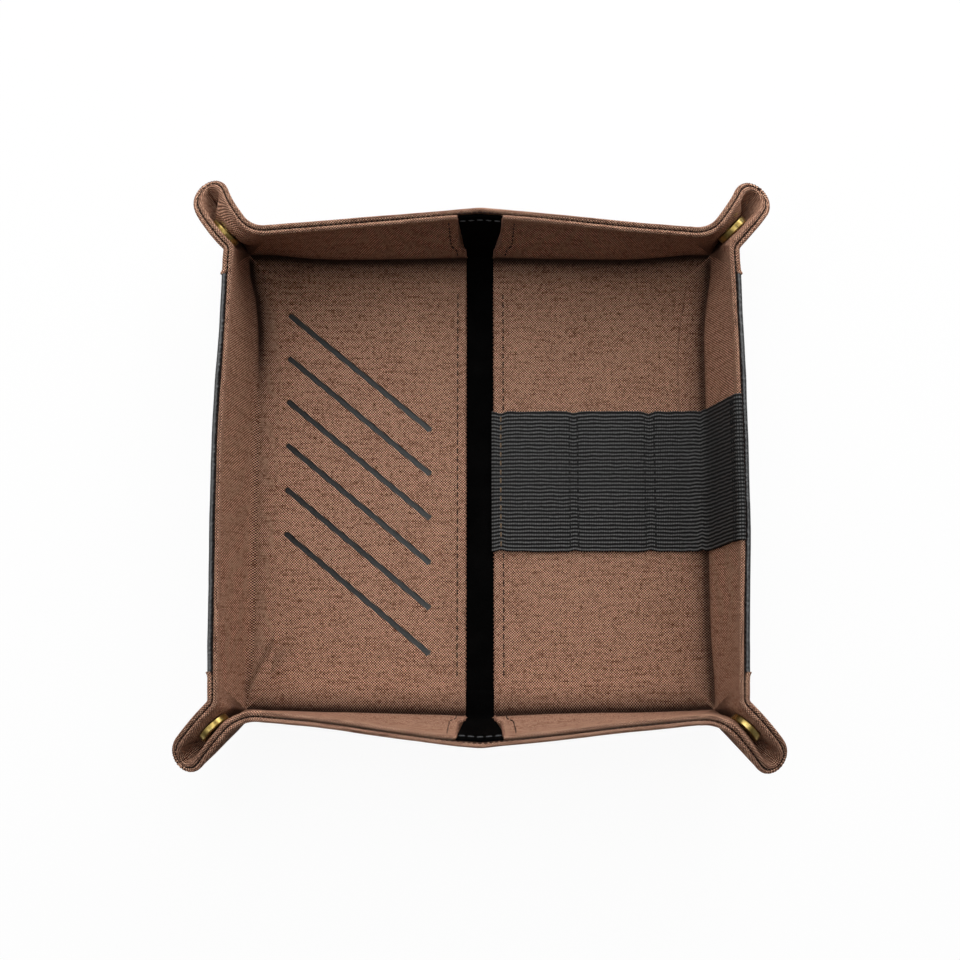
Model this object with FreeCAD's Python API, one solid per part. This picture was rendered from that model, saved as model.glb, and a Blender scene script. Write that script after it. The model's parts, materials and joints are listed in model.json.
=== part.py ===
import FreeCAD, Part
import math
import os

Vector = FreeCAD.Vector

# Floor of the tray between its four creases, and the walls that stand on it
floor_width = 160.0
floor_depth = 160.8
wall_slant = 36.0

# Angle of the walls from the floor, in degrees: the front and back walls are pulled
# upright at the corners by the snaps and splay outwards at the spine
side_angle = 84.0
end_corner_angle = 93.0
end_spine_angle = 81.3

# Layers of the sheet: woven liner, stiff board, outer cover, with a film of glue between
liner_thickness = 0.9
board_thickness = 1.3
cover_thickness = 0.9
layer_gap = 0.05
crease_clearance = 0.15
board_crease_margin = 2.0
board_rim_margin = 3.0

# Spine down the middle, where the tray folds like a book
spine_half_width = 4.9
spine_flare = 2.6
spine_tuck = 1.0
spine_clearance = 0.1
spine_strip_thickness = 1.0
spine_rim_margin = 2.0

# Brown ends of the cover beside its black middle band, which runs across the underside
# and up both side walls
cover_end_depth = 15.4
cover_seam_gap = 0.1

# Slits cut in the left liner, with a black sheet showing through them
slit_count = 6
slit_pitch = 15.8
slit_angle = 39.5
slit_width = 1.8
slit_spine_margin = 12.6
slit_crease_margin = 11.0
slit_backing_thickness = 0.4
slit_backing_margin = 3.5

# Elastic band sewn across the right floor and up the right wall
elastic_width = 50.0
elastic_thickness = 1.1
elastic_start = 4.2
elastic_crease_margin = 1.5
elastic_wall_margin = 2.5
elastic_rim_margin = 1.0

# Pinched ears at the corners
ear_half_gap = 2.0
ear_reach = 32.0
ear_foot = 4.0
ear_fold_gap = 0.5
ear_notch_clearance = 0.2
ear_fold_clearance = 0.1

# Press snaps through the ears: height up the crease, and distance out from it
snap_height = 26.0
snap_reach = 5.5
socket_radius = 5.5
socket_thickness = 2.4
socket_round = 0.5
stud_radius = 2.0
stud_length = 2.2
stud_round = 0.6
stud_flange_radius = 4.4
stud_flange_thickness = 0.8
stud_clearance = 0.25
shank_radius = 1.5
shank_clearance = 0.1
cap_radius = 5.8
cap_rise = 1.5
cap_edge = 0.4
seat_gap = 0.05

# Which half of each ear carries the socket
socket_on_side_wall = {"front_left": False, "front_right": False, "back_left": True, "back_right": False}

# Sizes worked out from the ones above
sheet_thickness = liner_thickness + board_thickness + cover_thickness + 2 * layer_gap
board_depth = liner_thickness + layer_gap
cover_depth = board_depth + board_thickness + layer_gap
strip_depth = cover_depth - layer_gap - spine_strip_thickness
half_width = floor_width / 2
half_depth = floor_depth / 2
spine_board_half = spine_half_width + spine_tuck
band_cover_half_depth = half_depth - cover_end_depth
floor_corner = Vector(half_width, -half_depth, sheet_thickness)
up_axis = Vector(0, 0, 1)

parts = {}


def add(name, shape):
    parts[name] = shape


def lean_up(lean, outward):
    angle = math.radians(lean)
    return outward * math.cos(angle) + up_axis * math.sin(angle)


def lean_out(lean, outward):
    angle = math.radians(lean)
    return outward * math.sin(angle) - up_axis * math.cos(angle)


def mirror_x(shape):
    return shape.mirror(Vector(), Vector(1, 0, 0))


def mirror_y(shape):
    return shape.mirror(Vector(), Vector(0, 1, 0))


def box_between(low, high):
    size = high - low
    return Part.makeBox(size.x, size.y, size.z, low)


# A wall end is a line up the wall: its foot on the crease, its slope for each unit of
# slant, and the direction through the sheet, from the inner face outwards
def wall_end(foot, slope, through):
    return {"foot": foot, "slope": slope, "through": through}


def shifted(end, move):
    return wall_end(end["foot"] + move, end["slope"], end["through"])


def between(first, second, share):
    # The line at a share of the way from one wall end to another, on the surface they span
    def mix(key):
        return first[key] * (1 - share) + second[key] * share

    return wall_end(mix("foot"), mix("slope"), mix("through"))


def end_section(end, low, high, inner, outer):
    corners = [(low, inner), (high, inner), (high, outer), (low, outer)]
    points = [end["foot"] + end["slope"] * up + end["through"] * depth for up, depth in corners]
    return Part.makePolygon(points + points[:1])


def slab(first, second, low, high, inner, outer):
    sections = [end_section(end, low, high, inner, outer) for end in (first, second)]
    return Part.makeLoft(sections, True, True)


# The corner of the front and right walls: their planes meet along the crease direction
front_way = Vector(0, -1, 0)
right_way = Vector(1, 0, 0)
front_out = lean_out(end_corner_angle, front_way)
right_out = lean_out(side_angle, right_way)
crease_way = front_out.cross(right_out).normalize()
if crease_way.z < 0:
    crease_way = crease_way * -1

# The ear stands in the plane that halves the angle between the two walls
ear_normal = (front_out - right_out).normalize()
ear_way = front_out + right_out
ear_way = (ear_way - crease_way * ear_way.dot(crease_way)).normalize()


def crease_axis(wall_out, plate_out):
    # Where the outer faces of a wall and of its ear half meet
    across = wall_out.dot(plate_out)
    plate_depth = ear_half_gap + sheet_thickness
    spread = 1 - across * across
    along_wall = (sheet_thickness - across * plate_depth) / spread
    along_plate = (plate_depth - across * sheet_thickness) / spread
    return floor_corner + wall_out * along_wall + plate_out * along_plate


def corner_wall_end(wall_out, wall_up, plate_out, inward):
    slope = crease_way * (1 / crease_way.dot(wall_up))
    foot = crease_axis(wall_out, plate_out) - wall_out * sheet_thickness
    foot = foot + slope * ((floor_corner.z - foot.z) / slope.z)
    return wall_end(foot + inward * ear_notch_clearance, slope, wall_out)


def floor_pieces():
    liner_low = sheet_thickness - liner_thickness
    reach_x = half_width - crease_clearance
    reach_y = half_depth - crease_clearance

    right_liner = box_between(Vector(spine_half_width, -reach_y, liner_low),
                              Vector(reach_x, reach_y, sheet_thickness))
    add("right_liner", right_liner)
    add("left_liner", mirror_x(right_liner).cut(slit_cutters(liner_low)))

    board_low = cover_thickness + layer_gap
    board_high = liner_low - layer_gap
    board_x = half_width - board_crease_margin
    board_y = half_depth - board_crease_margin
    add("right_floor_board", box_between(Vector(spine_board_half, -board_y, board_low),
                                         Vector(board_x, board_y, board_high)))
    backing_low = board_high - slit_backing_thickness
    add("left_floor_board", box_between(Vector(-board_x, -board_y, board_low),
                                        Vector(-spine_board_half, board_y, backing_low - layer_gap)))
    backing_x = board_x - slit_backing_margin
    backing_y = board_y - slit_backing_margin
    add("slit_backing", box_between(Vector(-backing_x, -backing_y, backing_low),
                                    Vector(-spine_board_half - slit_backing_margin, backing_y, board_high)))

    strip_x = spine_board_half - spine_clearance
    add("spine_strip", box_between(Vector(-strip_x, -reach_y, board_low),
                                   Vector(strip_x, reach_y, board_low + spine_strip_thickness)))

    add("base_cover", box_between(Vector(-reach_x, -band_cover_half_depth, 0),
                                  Vector(reach_x, band_cover_half_depth, cover_thickness)))
    front_strip = box_between(Vector(-reach_x, -reach_y, 0),
                              Vector(reach_x, -band_cover_half_depth - cover_seam_gap, cover_thickness))
    add("base_cover_ends", Part.makeCompound([front_strip, mirror_y(front_strip)]))

    elastic_low = sheet_thickness + layer_gap
    add("organizer_band", box_between(Vector(elastic_start, -elastic_width / 2, elastic_low),
                                      Vector(half_width - elastic_crease_margin, elastic_width / 2,
                                             elastic_low + elastic_thickness)))


def slit_cutters(liner_low):
    # Round-ended slits that fall to the right, in an even row from back to front
    cutters = []
    run = half_width - slit_crease_margin - spine_half_width - slit_spine_margin
    offset = half_width - slit_crease_margin - run / 2
    length = run / math.cos(math.radians(slit_angle))
    radius = slit_width / 2
    straight = length - slit_width
    for number in range(slit_count):
        middle = Vector(-offset, slit_pitch * ((slit_count - 1) / 2 - number), liner_low)
        bar = Part.makeBox(straight, slit_width, liner_thickness, Vector(-straight / 2, -radius, 0))
        ends = [Vector(-straight / 2, 0, 0), Vector(straight / 2, 0, 0)]
        cutter = bar.multiFuse([Part.makeCylinder(radius, liner_thickness, end) for end in ends])
        cutter.rotate(Vector(), up_axis, -slit_angle)
        cutter.translate(middle)
        cutters.append(cutter)
    return Part.makeCompound(cutters)


def side_wall_pieces():
    wall_up = lean_up(side_angle, right_way)
    front_end = corner_wall_end(right_out, wall_up, -ear_normal, Vector(0, 1, 0))
    back_end = wall_end(flip_y(front_end["foot"]), flip_y(front_end["slope"]), flip_y(front_end["through"]))
    low = crease_clearance

    liner = slab(front_end, back_end, low, wall_slant, 0, liner_thickness)
    board_front = shifted(front_end, Vector(0, board_rim_margin, 0))
    board_back = shifted(back_end, Vector(0, -board_rim_margin, 0))
    board = slab(board_front, board_back, board_crease_margin, wall_slant - board_rim_margin,
                 board_depth, board_depth + board_thickness)

    crease = Vector(half_width, 0, sheet_thickness)
    seam = wall_end(crease - Vector(0, band_cover_half_depth, 0), wall_up, right_out)
    seam_back = shifted(seam, Vector(0, 2 * band_cover_half_depth, 0))
    cover = slab(seam, seam_back, low, wall_slant, cover_depth, sheet_thickness)
    end_seam = shifted(seam, Vector(0, -cover_seam_gap, 0))
    cover_end = slab(front_end, end_seam, low, wall_slant, cover_depth, sheet_thickness)
    cover_ends = Part.makeCompound([cover_end, mirror_y(cover_end)])

    pieces = {"wall_liner": liner, "wall_board": board, "wall_cover": cover, "wall_cover_ends": cover_ends}
    for name, shape in pieces.items():
        add("right_" + name, shape)
        add("left_" + name, mirror_x(shape))

    elastic_front = wall_end(crease - Vector(0, elastic_width / 2, 0), wall_up, right_out)
    elastic_back = shifted(elastic_front, Vector(0, elastic_width, 0))
    add("organizer_band_end", slab(elastic_front, elastic_back, elastic_wall_margin,
                                   wall_slant - elastic_rim_margin,
                                   -layer_gap - elastic_thickness, -layer_gap))


def flip_x(vector):
    return Vector(-vector.x, vector.y, vector.z)


def flip_y(vector):
    return Vector(vector.x, -vector.y, vector.z)


def end_wall_pieces():
    # The front wall: each half twists from upright at the corner to splayed at the spine
    corner_up = lean_up(end_corner_angle, front_way)
    corner = corner_wall_end(front_out, corner_up, ear_normal, Vector(-1, 0, 0))
    spine_up = lean_up(end_spine_angle, front_way)
    spine_out = lean_out(end_spine_angle, front_way)
    middle = wall_end(Vector(0, -half_depth, sheet_thickness), spine_up, spine_out)
    low = crease_clearance

    def wall_line(x):
        return between(corner, middle, 1 - x / corner["foot"].x)

    def spine_end(half):
        # An edge beside the spine, which flares away from it towards the rim
        line = wall_line(half)
        flared = wall_line(half + spine_flare)
        rise = flared["foot"] + flared["slope"] * wall_slant - line["foot"]
        return wall_end(line["foot"], rise * (1 / wall_slant), line["through"])

    def flipped(end):
        return wall_end(flip_x(end["foot"]), flip_x(end["slope"]), flip_x(end["through"]))

    liner = slab(corner, spine_end(spine_half_width), low, wall_slant, 0, liner_thickness)
    board_corner = wall_line(corner["foot"].x - board_rim_margin)
    board = slab(board_corner, spine_end(spine_board_half),
                 board_crease_margin, wall_slant - board_rim_margin,
                 board_depth, board_depth + board_thickness)
    strip_edge = spine_end(spine_board_half - spine_clearance)
    strip = slab(strip_edge, flipped(strip_edge), low, wall_slant - spine_rim_margin,
                 strip_depth, strip_depth + spine_strip_thickness)
    cover_half = slab(corner, middle, low, wall_slant, cover_depth, sheet_thickness)
    cover = cover_half.fuse(mirror_x(cover_half)).removeSplitter()

    pieces = {"right_liner": liner, "left_liner": mirror_x(liner), "right_board": board,
              "left_board": mirror_x(board), "spine_strip": strip, "cover": cover}
    for name, shape in pieces.items():
        add("front_" + name, shape)
        add("back_" + name, mirror_y(shape))


# Places on the ear: up along the crease, out along the ear, and off its middle plane
def ear_place(up, out, off):
    return floor_corner + crease_way * up + ear_way * out + ear_normal * off


def fold_angle():
    # The corner of the flat sheet is shared between the two halves of the ear
    front_span = math.acos(crease_way.dot(Vector(-1, 0, 0)))
    side_span = math.acos(crease_way.dot(Vector(0, 1, 0)))
    floor_span = math.pi / 2
    return (2 * math.pi - floor_span - front_span - side_span) / 2


fold_turn = fold_angle()


def fold_place(along, beyond, off):
    up = along * math.cos(fold_turn) - beyond * math.sin(fold_turn)
    out = along * math.sin(fold_turn) + beyond * math.cos(fold_turn)
    return ear_place(up, out, off)


def ear_start():
    return (crease_axis(front_out, ear_normal) - floor_corner).dot(ear_way) + ear_notch_clearance


def ear_rim_height():
    end = corner_wall_end(front_out, lean_up(end_corner_angle, front_way), ear_normal, Vector(-1, 0, 0))
    rim = end["foot"] + end["slope"] * wall_slant
    return (rim - floor_corner).dot(crease_way)


def ear_half(side):
    # One half of the ear: from the crease out to the fold, under a rounded rim
    inner = side * ear_half_gap
    start = ear_start()
    rim_up = ear_rim_height()
    along = rim_up * math.cos(fold_turn) + start * math.sin(fold_turn)
    beyond = start * math.cos(fold_turn) - rim_up * math.sin(fold_turn)
    centre = (ear_reach ** 2 - along ** 2 - beyond ** 2) / (2 * (ear_reach - along))
    radius = ear_reach - centre
    sweep = math.atan2(beyond, along - centre) / 2
    tip_turn = math.asin(-ear_fold_gap / radius)

    neck = ear_place(rim_up, start, inner)
    middle = fold_place(centre + radius * math.cos(sweep), radius * math.sin(sweep), inner)
    tip = fold_place(centre + radius * math.cos(tip_turn), -ear_fold_gap, inner)
    toe = fold_place(ear_foot, -ear_fold_gap, inner)
    heel = ear_place((toe - floor_corner).dot(crease_way), start, inner)

    edges = [Part.Arc(neck, middle, tip).toShape(), Part.makeLine(tip, toe),
             Part.makeLine(toe, heel), Part.makeLine(heel, neck)]
    face = Part.Face(Part.Wire(edges))
    plate = face.extrude(ear_normal * (side * sheet_thickness))
    hole = snap_cylinder(shank_radius + shank_clearance, side, ear_half_gap, sheet_thickness)
    return plate.cut(hole)


def ear_fold():
    # The bend that joins the two halves along the fold
    outer = ear_half_gap + sheet_thickness
    edge = ear_fold_clearance - ear_fold_gap

    def place(radius, turn):
        return fold_place(ear_foot, edge + radius * math.cos(turn), radius * math.sin(turn))

    quarter = math.pi / 2
    wire = Part.Wire([Part.Arc(place(outer, -quarter), place(outer, 0), place(outer, quarter)).toShape(),
                      Part.makeLine(place(outer, quarter), place(ear_half_gap, quarter)),
                      Part.Arc(place(ear_half_gap, quarter), place(ear_half_gap, 0),
                               place(ear_half_gap, -quarter)).toShape(),
                      Part.makeLine(place(ear_half_gap, -quarter), place(outer, -quarter))])
    length = fold_place(ear_reach, 0, 0) - fold_place(ear_foot, 0, 0)
    return Part.Face(wire).extrude(length)


# Snap pieces stand on the ear's halves, along one line through both of them
def snap_place(side, off):
    return ear_place(snap_height, snap_reach, side * off)


def snap_cylinder(radius, side, low, length):
    return Part.makeCylinder(radius, length, snap_place(side, low), ear_normal * side)


def turned(side, profile):
    # Turn a profile about the snap's line. A step with one point is a straight run to it, and
    # one with two is an arc through the first. A point is a radius and a distance off the plane
    def place(point):
        radius, off = point
        return snap_place(side, off) + crease_way * radius

    edges = []
    here = profile[0][0]
    for step in profile[1:] + profile[:1]:
        if len(step) == 2:
            edges.append(Part.Arc(place(here), place(step[0]), place(step[1])).toShape())
        else:
            edges.append(Part.makeLine(place(here), place(step[0])))
        here = step[-1]
    return Part.Face(Part.Wire(edges)).revolve(snap_place(side, 0), ear_normal, 360)


def round_middle(radius, off, off_way, size):
    # The point halfway round a rounded outer corner
    inset = size * (1 - math.sqrt(1 / 2))
    return (radius - inset, off + off_way * inset)


def snap_cap(side):
    # Domed cap on the outer face, with the shank that goes through the ear
    face = ear_half_gap + sheet_thickness + seat_gap
    edge = face + cap_edge
    sphere_radius = (cap_radius ** 2 + cap_rise ** 2) / (2 * cap_rise)
    half_radius = cap_radius / 2
    half_rise = edge + cap_rise - sphere_radius + math.sqrt(sphere_radius ** 2 - half_radius ** 2)
    return turned(side, [[(0, ear_half_gap)], [(shank_radius, ear_half_gap)], [(shank_radius, face)],
                         [(cap_radius, face)], [(cap_radius, edge)],
                         [(half_radius, half_rise), (0, edge + cap_rise)]])


def snap_socket(side):
    # Brass ring on the inner face, with a bore for the stud
    high = ear_half_gap - seat_gap
    low = high - socket_thickness
    bore = stud_radius + stud_clearance
    shoulder = socket_radius - socket_round
    low_middle = round_middle(socket_radius, low, 1, socket_round)
    high_middle = round_middle(socket_radius, high, -1, socket_round)
    return turned(side, [[(bore, low)], [(shoulder, low)],
                         [low_middle, (socket_radius, low + socket_round)],
                         [(socket_radius, high - socket_round)],
                         [high_middle, (shoulder, high)], [(bore, high)]])


def snap_stud(side):
    # Flange on the other half's inner face, with the stud that presses into the socket
    high = ear_half_gap - seat_gap
    flange = high - stud_flange_thickness
    tip = flange - stud_length
    tip_middle = round_middle(stud_radius, tip, 1, stud_round)
    return turned(side, [[(0, tip)], [(stud_radius - stud_round, tip)],
                         [tip_middle, (stud_radius, tip + stud_round)],
                         [(stud_radius, flange)], [(stud_flange_radius, flange)],
                         [(stud_flange_radius, high)], [(0, high)]])


def corner_pieces(corner):
    front_side, wall_side = 1, -1
    socket_side = wall_side if socket_on_side_wall[corner] else front_side
    return {"ear_end_half": ear_half(front_side), "ear_side_half": ear_half(wall_side),
            "ear_fold": ear_fold(),
            "snap_cap": snap_cap(socket_side), "snap_socket": snap_socket(socket_side),
            "snap_rivet": snap_cap(-socket_side), "snap_stud": snap_stud(-socket_side)}


def ear_pieces():
    for end, flip_end in (("front", False), ("back", True)):
        for side, flip_side in (("right", False), ("left", True)):
            corner = end + "_" + side
            for name, shape in corner_pieces(corner).items():
                if flip_end:
                    shape = mirror_y(shape)
                if flip_side:
                    shape = mirror_x(shape)
                add(corner + "_" + name, shape)


floor_pieces()
side_wall_pieces()
end_wall_pieces()
ear_pieces()

os.makedirs("parts", exist_ok=True)
for name, shape in parts.items():
    shape.exportStep("parts/" + name + ".step")
    print(name, "valid" if shape.isValid() else "INVALID", len(shape.Solids), round(shape.Volume, 2))
print(len(parts), "nodes")
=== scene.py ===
import json
import math
import bmesh
import bpy
from mathutils import Matrix, Vector, noise


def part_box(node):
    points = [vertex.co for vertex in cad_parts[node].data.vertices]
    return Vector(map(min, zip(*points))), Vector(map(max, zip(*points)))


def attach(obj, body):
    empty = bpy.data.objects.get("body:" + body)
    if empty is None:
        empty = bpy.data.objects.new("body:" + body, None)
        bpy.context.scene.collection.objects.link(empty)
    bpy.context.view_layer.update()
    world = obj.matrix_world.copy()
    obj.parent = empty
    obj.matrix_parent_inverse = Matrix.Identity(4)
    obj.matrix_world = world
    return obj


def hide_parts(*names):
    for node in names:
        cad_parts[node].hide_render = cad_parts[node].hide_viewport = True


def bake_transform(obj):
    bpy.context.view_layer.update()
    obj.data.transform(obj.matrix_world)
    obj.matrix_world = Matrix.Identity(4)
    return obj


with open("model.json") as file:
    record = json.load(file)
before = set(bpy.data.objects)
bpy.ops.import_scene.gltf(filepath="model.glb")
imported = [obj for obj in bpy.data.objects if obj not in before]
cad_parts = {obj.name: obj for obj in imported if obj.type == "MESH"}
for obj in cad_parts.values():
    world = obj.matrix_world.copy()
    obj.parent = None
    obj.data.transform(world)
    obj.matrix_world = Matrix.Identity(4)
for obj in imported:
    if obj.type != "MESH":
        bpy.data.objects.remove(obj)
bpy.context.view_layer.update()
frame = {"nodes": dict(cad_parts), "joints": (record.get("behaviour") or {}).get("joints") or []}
scene = bpy.context.scene
joints = {joint["name"]: joint for joint in frame["joints"]}

# The tray's own sizes, in metres and degrees; the creases and the floor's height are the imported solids'
halfWidth = joints["right_wall_fold"]["pos_m"][0]
halfDepth = joints["back_wall_fold"]["pos_m"][1]
floorTop = joints["right_wall_fold"]["pos_m"][2]
tray = {"slant": 0.036, "sideLean": 84.0, "cornerLean": 93.0, "spineLean": 81.3, "cornerFoot": 0.0794,
        "sideBow": 0.0006, "flap": 0.0085, "dip": 0.0019, "dipWidth": 0.0017, "bead": 0.003,
        "spineHalf": 0.0049, "spineFlare": 0.0026, "coverEnd": 0.0154, "wallDraw": 0.46,
        "flareStart": 0.008, "flareRun": 0.006, "flareStep": 0.75, "earShare": 0.87, "dipShare": 0.7,
        "twistFade": 0.004}
slant, flap = tray["slant"], tray["flap"]
endSigns = {"front": -1, "back": 1}
sideSigns = {"right": 1, "left": -1}


# Shader helpers: a value is a number, a colour or another node's socket
def joinTo(tree, value, socket):
    if isinstance(value, bpy.types.NodeSocket):
        tree.links.new(value, socket)
    else:
        socket.default_value = value


def addNode(tree, kind, inputs, **settings):
    node = tree.nodes.new("ShaderNode" + kind)
    for key, value in settings.items():
        setattr(node, key, value)
    for key, value in inputs.items():
        joinTo(tree, value, node.inputs[key])
    return node.outputs


def addMath(tree, operation, *values):
    return addNode(tree, "Math", dict(enumerate(values)), operation=operation)[0]


def addVector(tree, operation, *values):
    return addNode(tree, "VectorMath", dict(enumerate(values)), operation=operation)[0]


def splitVector(tree, vector):
    return addNode(tree, "SeparateXYZ", {0: vector})


def addFade(tree, share, first, second):
    return addNode(tree, "Mix", {0: share, 2: first, 3: second})[0]


def addMix(tree, share, first, second, blend="MIX"):
    inputs = {0: share, 6: first, 7: second}
    return addNode(tree, "Mix", inputs, data_type="RGBA", blend_type=blend)[2]


def addNoise(tree, vector, scale, detail=2.0, dimensions="3D"):
    inputs = {"Vector": vector, "Scale": scale, "Detail": detail}
    return addNode(tree, "TexNoise", inputs, noise_dimensions=dimensions)[0]


def addRamp(tree, value, stops):
    colour = addNode(tree, "ValToRGB", {0: value})[0]
    ramp = colour.node.color_ramp
    while len(ramp.elements) < len(stops):
        ramp.elements.new(0.5)
    for element, (place, tone) in zip(ramp.elements, stops):
        element.position = place
        element.color = (*tone, 1.0)
    return colour


def paint(tree, shader, value, stops):
    joinTo(tree, addRamp(tree, value, stops), shader.inputs["Base Color"])


def addBump(tree, shader, height, strength, distance):
    inputs = {"Height": height, "Strength": strength, "Distance": distance}
    joinTo(tree, addNode(tree, "Bump", inputs)[0], shader.inputs["Normal"])


def flatCoordinates(tree):
    return addNode(tree, "UVMap", {}, uv_map="flat")[0]


def objectCoordinates(tree):
    return addNode(tree, "TexCoord", {})["Object"]


def newGroup(name, inputs, outputs):
    group = bpy.data.node_groups.new(name, "ShaderNodeTree")
    for way, sockets in (("INPUT", inputs), ("OUTPUT", outputs)):
        for key, kind in sockets.items():
            group.interface.new_socket(key, in_out=way, socket_type="NodeSocket" + kind)
    return group, group.nodes.new("NodeGroupInput").outputs, group.nodes.new("NodeGroupOutput").inputs


def newMaterial(name, values):
    material = bpy.data.materials.new(name)
    material.use_nodes = True
    shader = material.node_tree.nodes["Principled BSDF"]
    for key, value in values.items():
        shader.inputs[key].default_value = value
    return material, material.node_tree, shader


# Woven cloth: warp and weft cross in a plain weave, and each thread changes tone along its length
weaveSet = {"cells": (2200.0, 2200.0, 0.0), "wobble": (0.0005, 0.0005, 0.0), "wobbleScale": 160.0,
            "threadStep": 3.37, "threadStarts": (3.0, 57.0), "threadScale": 0.05, "parity": 0.90,
            "thread": 0.52, "base": -0.28, "mottle": 0.12, "mottleScale": 70.0, "grain": 0.60,
            "grainScale": 750.0, "speck": 0.24, "edge": 0.42, "crown": 0.85, "round": 0.6, "over": 0.6,
            "under": 0.4,
            "tones": [(0.10, (0.011, 0.0036, 0.0022)), (0.36, (0.066, 0.0230, 0.0130)),
                      (0.60, (0.330, 0.143, 0.087)), (0.95, (0.800, 0.470, 0.320))]}


def makeWeaveGroup():
    group, given, made = newGroup("plainWeave", {"Flat": "Vector", "Cells": "Vector"},
                                  {"Color": "Color", "Height": "Float"})
    flat = given["Flat"]
    wobble = addNode(group, "TexNoise", {"Vector": flat, "Scale": weaveSet["wobbleScale"], "Detail": 1.0})
    shifted = addVector(group, "MULTIPLY_ADD", wobble["Color"], weaveSet["wobble"], flat)
    scaled = addVector(group, "MULTIPLY", shifted, given["Cells"])
    cell = addVector(group, "FLOOR", scaled)
    cells, places = splitVector(group, cell), splitVector(group, scaled)
    inside = splitVector(group, addVector(group, "FRACTION", scaled))
    parity = addMath(group, "FLOORED_MODULO", addMath(group, "ADD", cells[0], cells[1]), 2.0)
    threads, waves = [], []
    for side, start in enumerate(weaveSet["threadStarts"]):
        across = addMath(group, "MULTIPLY_ADD", cells[side], weaveSet["threadStep"], start)
        along = addMath(group, "MULTIPLY", places[1 - side], weaveSet["threadScale"])
        place = addNode(group, "CombineXYZ", {0: across, 1: along})[0]
        threads.append(addNoise(group, place, 1.0, 2.0, "2D"))
        waves.append(addMath(group, "SINE", addMath(group, "MULTIPLY", inside[side], math.pi)))
    thread = addFade(group, parity, *threads)
    tone = addMath(group, "MULTIPLY_ADD", thread, weaveSet["thread"], weaveSet["base"])
    tone = addMath(group, "MULTIPLY_ADD", parity, weaveSet["parity"], tone)
    variations = {"mottle": addNoise(group, flat, weaveSet["mottleScale"], 3.0),
                  "grain": addNoise(group, flat, weaveSet["grainScale"], 1.0),
                  "speck": addNode(group, "TexWhiteNoise", {"Vector": cell}, noise_dimensions="2D")[0]}
    for key, value in variations.items():
        lowered = addMath(group, "SUBTRACT", tone, weaveSet[key] / 2)
        tone = addMath(group, "MULTIPLY_ADD", value, weaveSet[key], lowered)
    crowns = []
    for wave, other in (waves, reversed(waves)):
        over = addMath(group, "MULTIPLY_ADD", other, weaveSet["over"], weaveSet["under"])
        crowns.append(addMath(group, "MULTIPLY", addMath(group, "POWER", wave, weaveSet["round"]), over))
    height = addFade(group, parity, *crowns)
    # Painted shade and highlight: the colour darkens towards each thread's edges, where it dips under its
    # neighbour, and lightens on its crown
    shade = addMath(group, "MULTIPLY_ADD", height, weaveSet["crown"], weaveSet["edge"])
    grey = addNode(group, "CombineColor", {0: shade, 1: shade, 2: shade})[0]
    colour = addRamp(group, tone, weaveSet["tones"])
    joinTo(group, addMix(group, 1.0, colour, grey, "MULTIPLY"), made["Color"])
    joinTo(group, height, made["Height"])
    return group


def makeWeave():
    material, tree, shader = newMaterial("brownWeave", {
        "Roughness": 0.85, "Specular IOR Level": 0.06, "Sheen Weight": 0.35, "Sheen Roughness": 0.45,
        "Sheen Tint": (0.80, 0.40, 0.26, 1.0)})
    inputs = {"Flat": flatCoordinates(tree), "Cells": weaveSet["cells"]}
    cloth = addNode(tree, "Group", inputs, node_tree=makeWeaveGroup())
    # Painted shade: the crease attribute darkens the cloth in the creases, beside the floor's ridge and deep
    # inside the ears
    crease = addNode(tree, "Attribute", {}, attribute_name="crease")["Fac"]
    dark = addMix(tree, 1.0, cloth["Color"], (0.05, 0.04, 0.04, 1.0), "MULTIPLY")
    joinTo(tree, addMix(tree, crease, cloth["Color"], dark), shader.inputs["Base Color"])
    addBump(tree, shader, cloth["Height"], 0.7, 0.00025)
    return material


def makePile():
    material, tree, shader = newMaterial("blackPile", {
        "Roughness": 0.95, "Specular IOR Level": 0.02})
    place = objectCoordinates(tree)
    nap = addNoise(tree, place, 2600.0)
    tone = addMath(tree, "MULTIPLY", nap, addNoise(tree, place, 120.0))
    paint(tree, shader, tone, [(0.1, (0.0005, 0.0005, 0.0005)), (0.5, (0.0030, 0.0028, 0.0028))])
    addBump(tree, shader, nap, 0.9, 0.0004)
    return material


# Elastic band: sizes beside its material, because the ribs and their tone share one pitch
band = {"start": 0.0042, "half": 0.025, "thick": 0.0011, "ribPitch": 0.0013, "ribDepth": 0.00022,
        "bendTangent": 0.0092, "overRim": 0.0018, "puff": 0.0010, "draw": 0.0006, "lift": 0.00018,
        "drawLow": 0.07, "drawHigh": 0.015, "drawWidth": 0.0016, "ribPower": 0.6, "puffFade": 0.012,
        "puffRise": 0.6, "puffEdge": 0.4, "mostTurn": 2.0, "turnRadius": 0.0005, "edgeLift": 0.0002,
        "edgeRound": 0.0009, "wander": 0.00022, "wanderAlong": 260, "wanderAcross": 420,
        "seams": (0.0075, 0.0333, 0.0602, 0.0815), "foldStart": 0.006, "foldEnd": 0.001, "foldRise": 0.008,
        "endSewing": (0.0075,), "pocketSewing": (0.0319, 0.0347, 0.0585, 0.0619),
        "rimSewing": (0.0322, 0.0340), "threadLift": 0.00002, "threadGap": 0.0012, "loopGap": 0.0005}


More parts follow.
